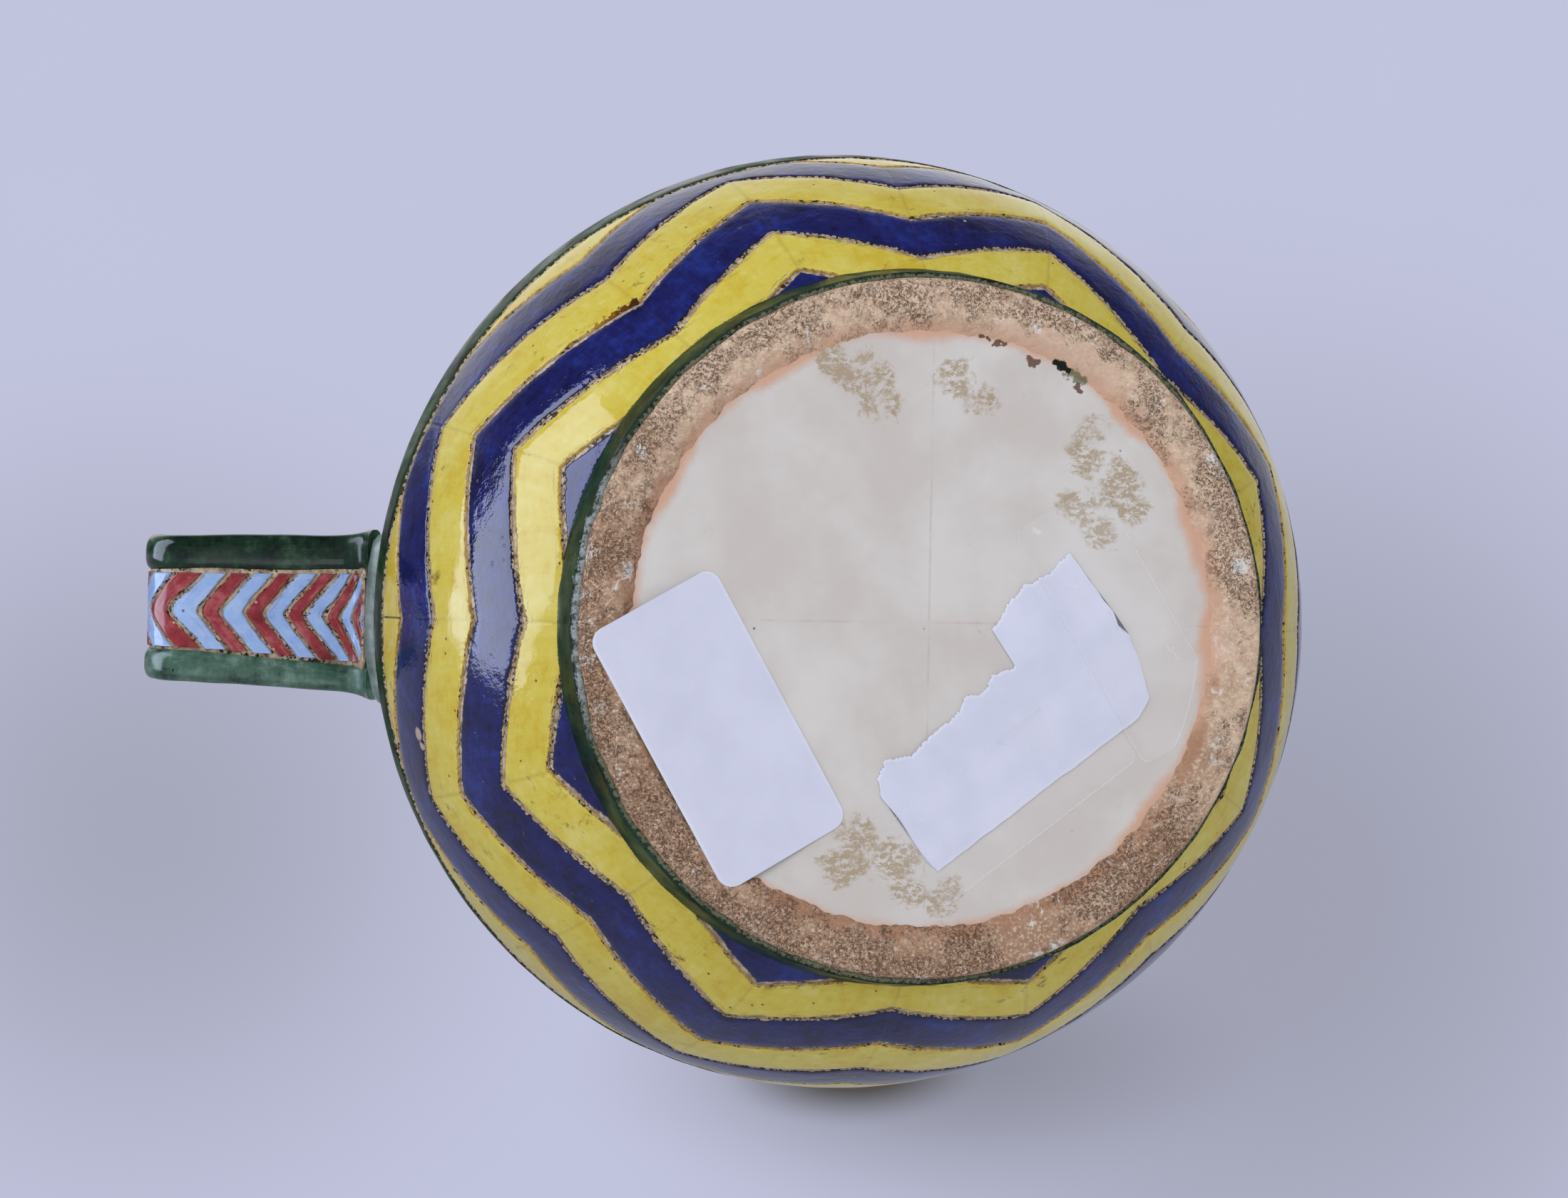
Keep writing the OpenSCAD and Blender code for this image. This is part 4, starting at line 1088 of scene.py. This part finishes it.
def build_handle():
    make_piece("rib_left_green", rib_mesh(-1), HANDLE_GREEN, "handle_rib_left")
    # The right rib gets the paler green with painted sheen.
    make_piece("rib_right_green", rib_mesh(1), SHEEN_RIB_GREEN, "handle_rib_right")
    make_piece("strap_green", strap_mesh(-STRAP_HALF, STRAP_FACE - 0.4, 3), HANDLE_GREEN, "handle_strap")
    make_piece("strap_bed_clay", strap_mesh(STRAP_FACE - 0.6, STRAP_FACE, 1.5), CLAY)
    red, pale, k = [], [], 0
    while chevron_tip(k) < HANDLE_END + 14:
        tip, after = chevron_tip(k), chevron_tip(k + 1)
        tail = after - RED_SHARE * (after - tip)
        pale += chevron_mesh(tip, tail, 62 + 2 * k)
        red += chevron_mesh(tail, after, 61 + 2 * k)
        k += 1
    make_piece("chevrons_red", join_meshes(red), RED, "handle_red_chevrons")
    make_piece("chevrons_blue", join_meshes(pale), PALE_BLUE, "handle_blue_chevrons")


def root_mesh(rho, z, half, reach, height, aside):
    """A flange with round ends that stands out by reach and is twice height tall."""
    lean = np.linspace(-pi / 2, pi / 2, 61)[:, None]
    turn = np.linspace(0, 2 * pi, 40, endpoint=False)[None, :]
    y = np.sign(lean) * (half - height) * np.minimum(np.abs(lean) * 2, 1) + height * np.sin(lean) + aside
    size = np.maximum(np.cos(lean), 0.02) ** 0.8
    size = size * (1 + 0.05 * ripple(y, turn * height, 71, 8, 25))
    x = -np.sqrt(rho ** 2 - y ** 2) - reach * size * np.cos(turn)
    grid = np.stack([x, y + 0 * turn, z + height * size * np.sin(turn)], -1)
    return loop_mesh(grid, False, along=y, across=turn * height, edge=FAR_FROM_EDGE)


def build_roots():
    lower = root_mesh(BODY_RHO - 2, HANDLE_START_Z - 2, half=17.4, reach=3.6, height=4.4, aside=0.8)
    # The lower root gets the paler green with painted sheen.
    make_piece("root_lower_green", lower, ROOT_GREEN_PAINTED_SHEEN, "handle_root_lower")
    upper = root_mesh(NECK_R, ARM_Z, HANDLE_HALF_W + 2.8, BAR_R, BAR_R, swing(HANDLE_END))
    make_piece("root_upper_green", upper, HANDLE_GREEN, "handle_root_upper")


# Papers under the base

def paper_z(x, y, flat):
    """Level as far as flat from the axis, then a slope over the bevel to the foot."""
    t = smooth((np.hypot(x, y) - flat) / (BEVEL_R + 0.5 - flat))
    return (RECESS_D - 0.02) * (1 - t) + 0.2 * t


def paper_place(at, angle, lift, seed, wave, fray=0.0, flat=RECESS_R - 3):
    """Places on a sheet: u along it, v across it, h down; fray roughens its ends."""
    def place(u, v, h):
        u = u + fray * ripple(v, 0, seed + 1, 1.5, 9) * (np.abs(u) / NOTE_L * 2) ** 8
        x, y = turned(u, v, angle)
        x, y = x + at[0], y + at[1]
        bow = wave * ripple(u, v, seed, 12, 50) ** 2
        return np.stack([x, y, paper_z(x, y, flat) - lift - bow - h], -1)
    return place


def oblong(length, width, radius, count):
    """Columns along an oblong with round corners, and its two borders."""
    u = length / 2 * np.sin(np.linspace(-pi / 2, pi / 2, count))
    over = np.clip(np.abs(u) - (length / 2 - radius), 0, radius)
    border = width / 2 - radius + np.sqrt(radius ** 2 - over ** 2)
    return u, -border, border


def build_label():
    place = paper_place(LABEL_AT, LABEL_ANGLE, lift=0.02, seed=81, wave=0.03, flat=RECESS_R - 14)
    data = field_mesh(place, *oblong(LABEL_L, LABEL_W, LABEL_ROUND, 121), 82, PAPER_T)
    make_piece("label_sheet", data, LABEL_PAPER, "paper_label")


def build_note():
    u = np.linspace(-NOTE_L / 2, NOTE_L / 2, 420)
    tear = 0.3 * ripple(u, 0, 83, 2, 7) + 0.16 * ripple(u, 0, 84, 0.5, 1.5)
    high = np.interp(u, *zip(*TORN_SIDE)) + tear
    low = np.interp(u, *zip(*WORN_SIDE)) + 0.08 * ripple(u, 0, 85, 3, 20)
    place = paper_place(NOTE_AT, NOTE_ANGLE, lift=0.03, seed=86, wave=0.1, fray=0.35)
    make_piece("note_sheet", field_mesh(place, u, low, high, 87, PAPER_T), NOTE_PAPER, "paper_note")


def tape_mesh(length, u, v, angle, lift, seed):
    """A strip, its middle at u and v on the note, that stops at the edge of the recess."""
    x, y = turned(u, v, NOTE_ANGLE)
    at = (x + NOTE_AT[0], y + NOTE_AT[1])
    ahead, aside = turned(*at, -angle)
    u, low, high = oblong(length, TAPE_W, TAPE_ROUND, 141)
    room = np.sqrt(np.maximum(TAPE_REACH ** 2 - (ahead + u) ** 2, 0))
    low, high = np.maximum(low, -aside - room), np.minimum(high, -aside + room)
    fits = high - low > 0.5
    place = paper_place(at, angle, lift, seed, wave=0.12)
    return field_mesh(place, u[fits], low[fits], high[fits], seed, TAPE_T)


def build_tape():
    along = tape_mesh(TAPE_ALONG_L, *TAPE_ALONG_AT, NOTE_ANGLE, lift=0.22, seed=88)
    cross = tape_mesh(TAPE_CROSS_L, -NOTE_L / 2, 0, NOTE_ANGLE + TAPE_CROSS_TURN, lift=0.45, seed=90)
    film = make_piece("tape_film", join_meshes([along, cross]), TAPE, "clear_tape")
    film.visible_shadow = False


# Stage, lamps and camera

PALE = (194, 197, 222)
PHOTO_TURN = Matrix.Rotation(radians(-1), 3, "Z")
CAMERA_AT = Vector((-163.0, -14.5, -656.7)) * MM
CAMERA_AIM = Vector((-26.7, -5.6, 0.0)) * MM
CAMERA_LENS, SENSOR_W = 85, 36
LAMP_AIM = Vector((0, 0, 60)) * MM
# Sheets: lowest and highest x, lowest and highest y, and z
FLOOR = (-4000, 4000, -4000, 4000, 0)
BACKDROP = (-260, 360, -250, 250, 330)
SHADOW = (-140, 180, 30, 160, 80)
# Boxes that the glaze mirrors, and fills that it doesn't, as softbox takes them
MIRRORED_BOXES = {"left_box": (195, 3, 0.9, 0.88, 0.5, 4.6, (0.85, 0.93, 1.2), -25),
                  "low_card": (90, -62, 0.9, 0.9, 0.5, 1.0)}
FILLS = {"left_fill": (200, -5, 0.9, 0.8, 0.8, 1.0), "front_fill": (-125, -55, 1.1, 0.8, 0.8, 2.8),
         "low_fill": (80, -25, 1.0, 0.8, 0.6, 0.7), "top_fill": (-60, 58, 1.2, 0.9, 0.9, 2.0)}


def build_camera():
    data = bpy.data.cameras.new("camera")
    data.lens = CAMERA_LENS
    data.sensor_width = SENSOR_W
    data.sensor_fit = "HORIZONTAL"
    camera = add_object("camera", data)
    forward = (CAMERA_AIM - CAMERA_AT).normalized()
    right = forward.cross(Vector((0, -1, 0))).normalized()
    up = right.cross(forward)
    axes = PHOTO_TURN @ Matrix((right, up, -forward)).transposed()
    camera.matrix_world = Matrix.Translation(PHOTO_TURN @ CAMERA_AT) @ axes.to_4x4()
    SCENE.camera = camera


def one_sided(m, shader):
    """Shows only a sheet's front, so that the jug can be seen from behind it."""
    back = m.put("NewGeometry", output="Backfacing")
    both = m.put("MixShader", {0: back, 1: shader, 2: m.put("BsdfTransparent")})
    m.put("OutputMaterial", {"Surface": both})
    return m


def floor_finish():
    """Pale paper that runs into the paper behind it without an edge."""
    m = Finish("floor_paper")
    near = m.put("BsdfDiffuse", {"Color": m.clouds(6, 2).mix((200, 202, 222), PALE)})
    away = m.put("Emission", {"Color": srgb(PALE)})
    return one_sided(m, m.put("MixShader", {0: m.jug.away_from().step(1000, 200), 1: away, 2: near}))


def backdrop_finish():
    """Evenly lit pale paper, with painted shadow that makes it a little darker to both sides of the jug."""
    m = Finish("backdrop_paper")
    # Painted shadow of the jug on the paper: darker patches to its right and to its left.
    right = m.jug.away_from(180, 80).step(210, 20)
    left = m.jug.away_from(-130, 60).step(140, 0) * 0.85
    tint = right.larger(left).mix(PALE, (160, 162, 180))
    tint = (m.clouds(14, 2) * 0.1).mix(tint, (170, 172, 194))
    return one_sided(m, m.put("Emission", {"Color": tint}))


def shadow_finish():
    """The soft shadow where the jug's side meets the paper behind it."""
    m = Finish("paper_shadow")
    place = m.put("Mapping", {"Vector": m.jug, "Scale": (0.4, 1, 1)})
    shade = place.away_from(2, 92).step(12, 2) * 0.66 + place.away_from(8, 90).step(32, 0) * 0.48
    dark = m.put("Emission", {"Color": srgb((84, 82, 80))})
    return one_sided(m, m.put("MixShader", {0: shade, 1: m.put("BsdfTransparent"), 2: dark}))


def stage_sheet(name, finish, x0, x1, y0, y1, z, faces_up=False):
    """A flat sheet that only the camera sees."""
    corners = [(x0, y0, z), (x0, y1, z), (x1, y1, z), (x1, y0, z)]
    sheet = add_mesh(name, corners, [(3, 2, 1, 0) if faces_up else (0, 1, 2, 3)], finish)
    sheet.visible_diffuse = False
    sheet.visible_glossy = False
    sheet.visible_shadow = False


def build_stage():
    stage_sheet("floor", floor_finish(), *FLOOR, faces_up=True)
    stage_sheet("backdrop", backdrop_finish(), *BACKDROP)
    stage_sheet("shadow", shadow_finish(), *SHADOW)


def softbox(name, turn, rise, away, width, height, radiance, colour=(0.93, 0.95, 1.0), roll=0):
    """A lamp that faces the jug, in metres and in degrees round, up and about its own axis."""
    a, b = radians(turn), radians(rise)
    out = Vector((cos(a) * cos(b), sin(a) * cos(b), sin(b)))
    lamp = bpy.data.lights.new(name, "AREA")
    lamp.shape = "RECTANGLE"
    lamp.size, lamp.size_y = width, height
    lamp.energy = radiance * pi * width * height
    lamp.color = colour
    box = add_object(name, lamp)
    box.location = LAMP_AIM + out * away
    spin = Matrix.Rotation(radians(roll), 3, "Z")
    box.rotation_euler = (out.to_track_quat("Z", "Y").to_matrix() @ spin).to_euler()
    return box


def build_lamps():
    for name, look in MIRRORED_BOXES.items():
        softbox(name, *look).visible_diffuse = False
    for name, look in FILLS.items():
        softbox(name, *look).visible_glossy = False


def build_world():
    """The pale room that lights the jug, and the lighter and darker sides that its glaze mirrors."""
    SCENE.world = bpy.data.worlds.new("room")
    m = Tree(SCENE.world)
    x = m.put("SeparateXYZ", {0: m.put("TexCoord", output="Generated")})
    y, z = x.other(1), x.other(2)
    near_side = y.step(-0.35, 0.1)
    level = near_side.mix((80, 80, 86), (160, 162, 176))
    above = near_side.mix((250, 250, 255), (152, 154, 168))
    dark = x.step(-0.2, -0.4) * z.step(0.42, 0.6) * y.step(0.03, -0.02) * y.step(-0.34, -0.22)
    mirrored = (dark * 0.85).mix(z.step(0.4, 0.95).mix(level, above), (36, 38, 52))
    glossy = m.put("LightPath", output="Is Glossy Ray")
    seen = glossy.mix((188, 189, 196), mirrored)
    seen = glossy.other("Is Camera Ray").mix(seen, PALE)
    m.put("OutputWorld", {"Surface": m.put("Background", {"Color": seen, "Strength": 1.0})})


def dress_hidden_nodes():
    """The node that stays as it is gets the jug's clay."""
    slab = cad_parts["base_slab"]
    slab.data.materials.clear()
    slab.data.materials.append(CLAY.material)


for build in (build_camera, build_clay, build_inner_glaze, build_beads, build_foot, build_base,
              build_ball_fields, build_belly_band, build_dome_fields, build_neck_fields, build_lip,
              build_handle, build_roots, build_label, build_note, build_tape, dress_hidden_nodes,
              build_stage, build_lamps, build_world):
    build()

SCENE.view_settings.view_transform = "Standard"
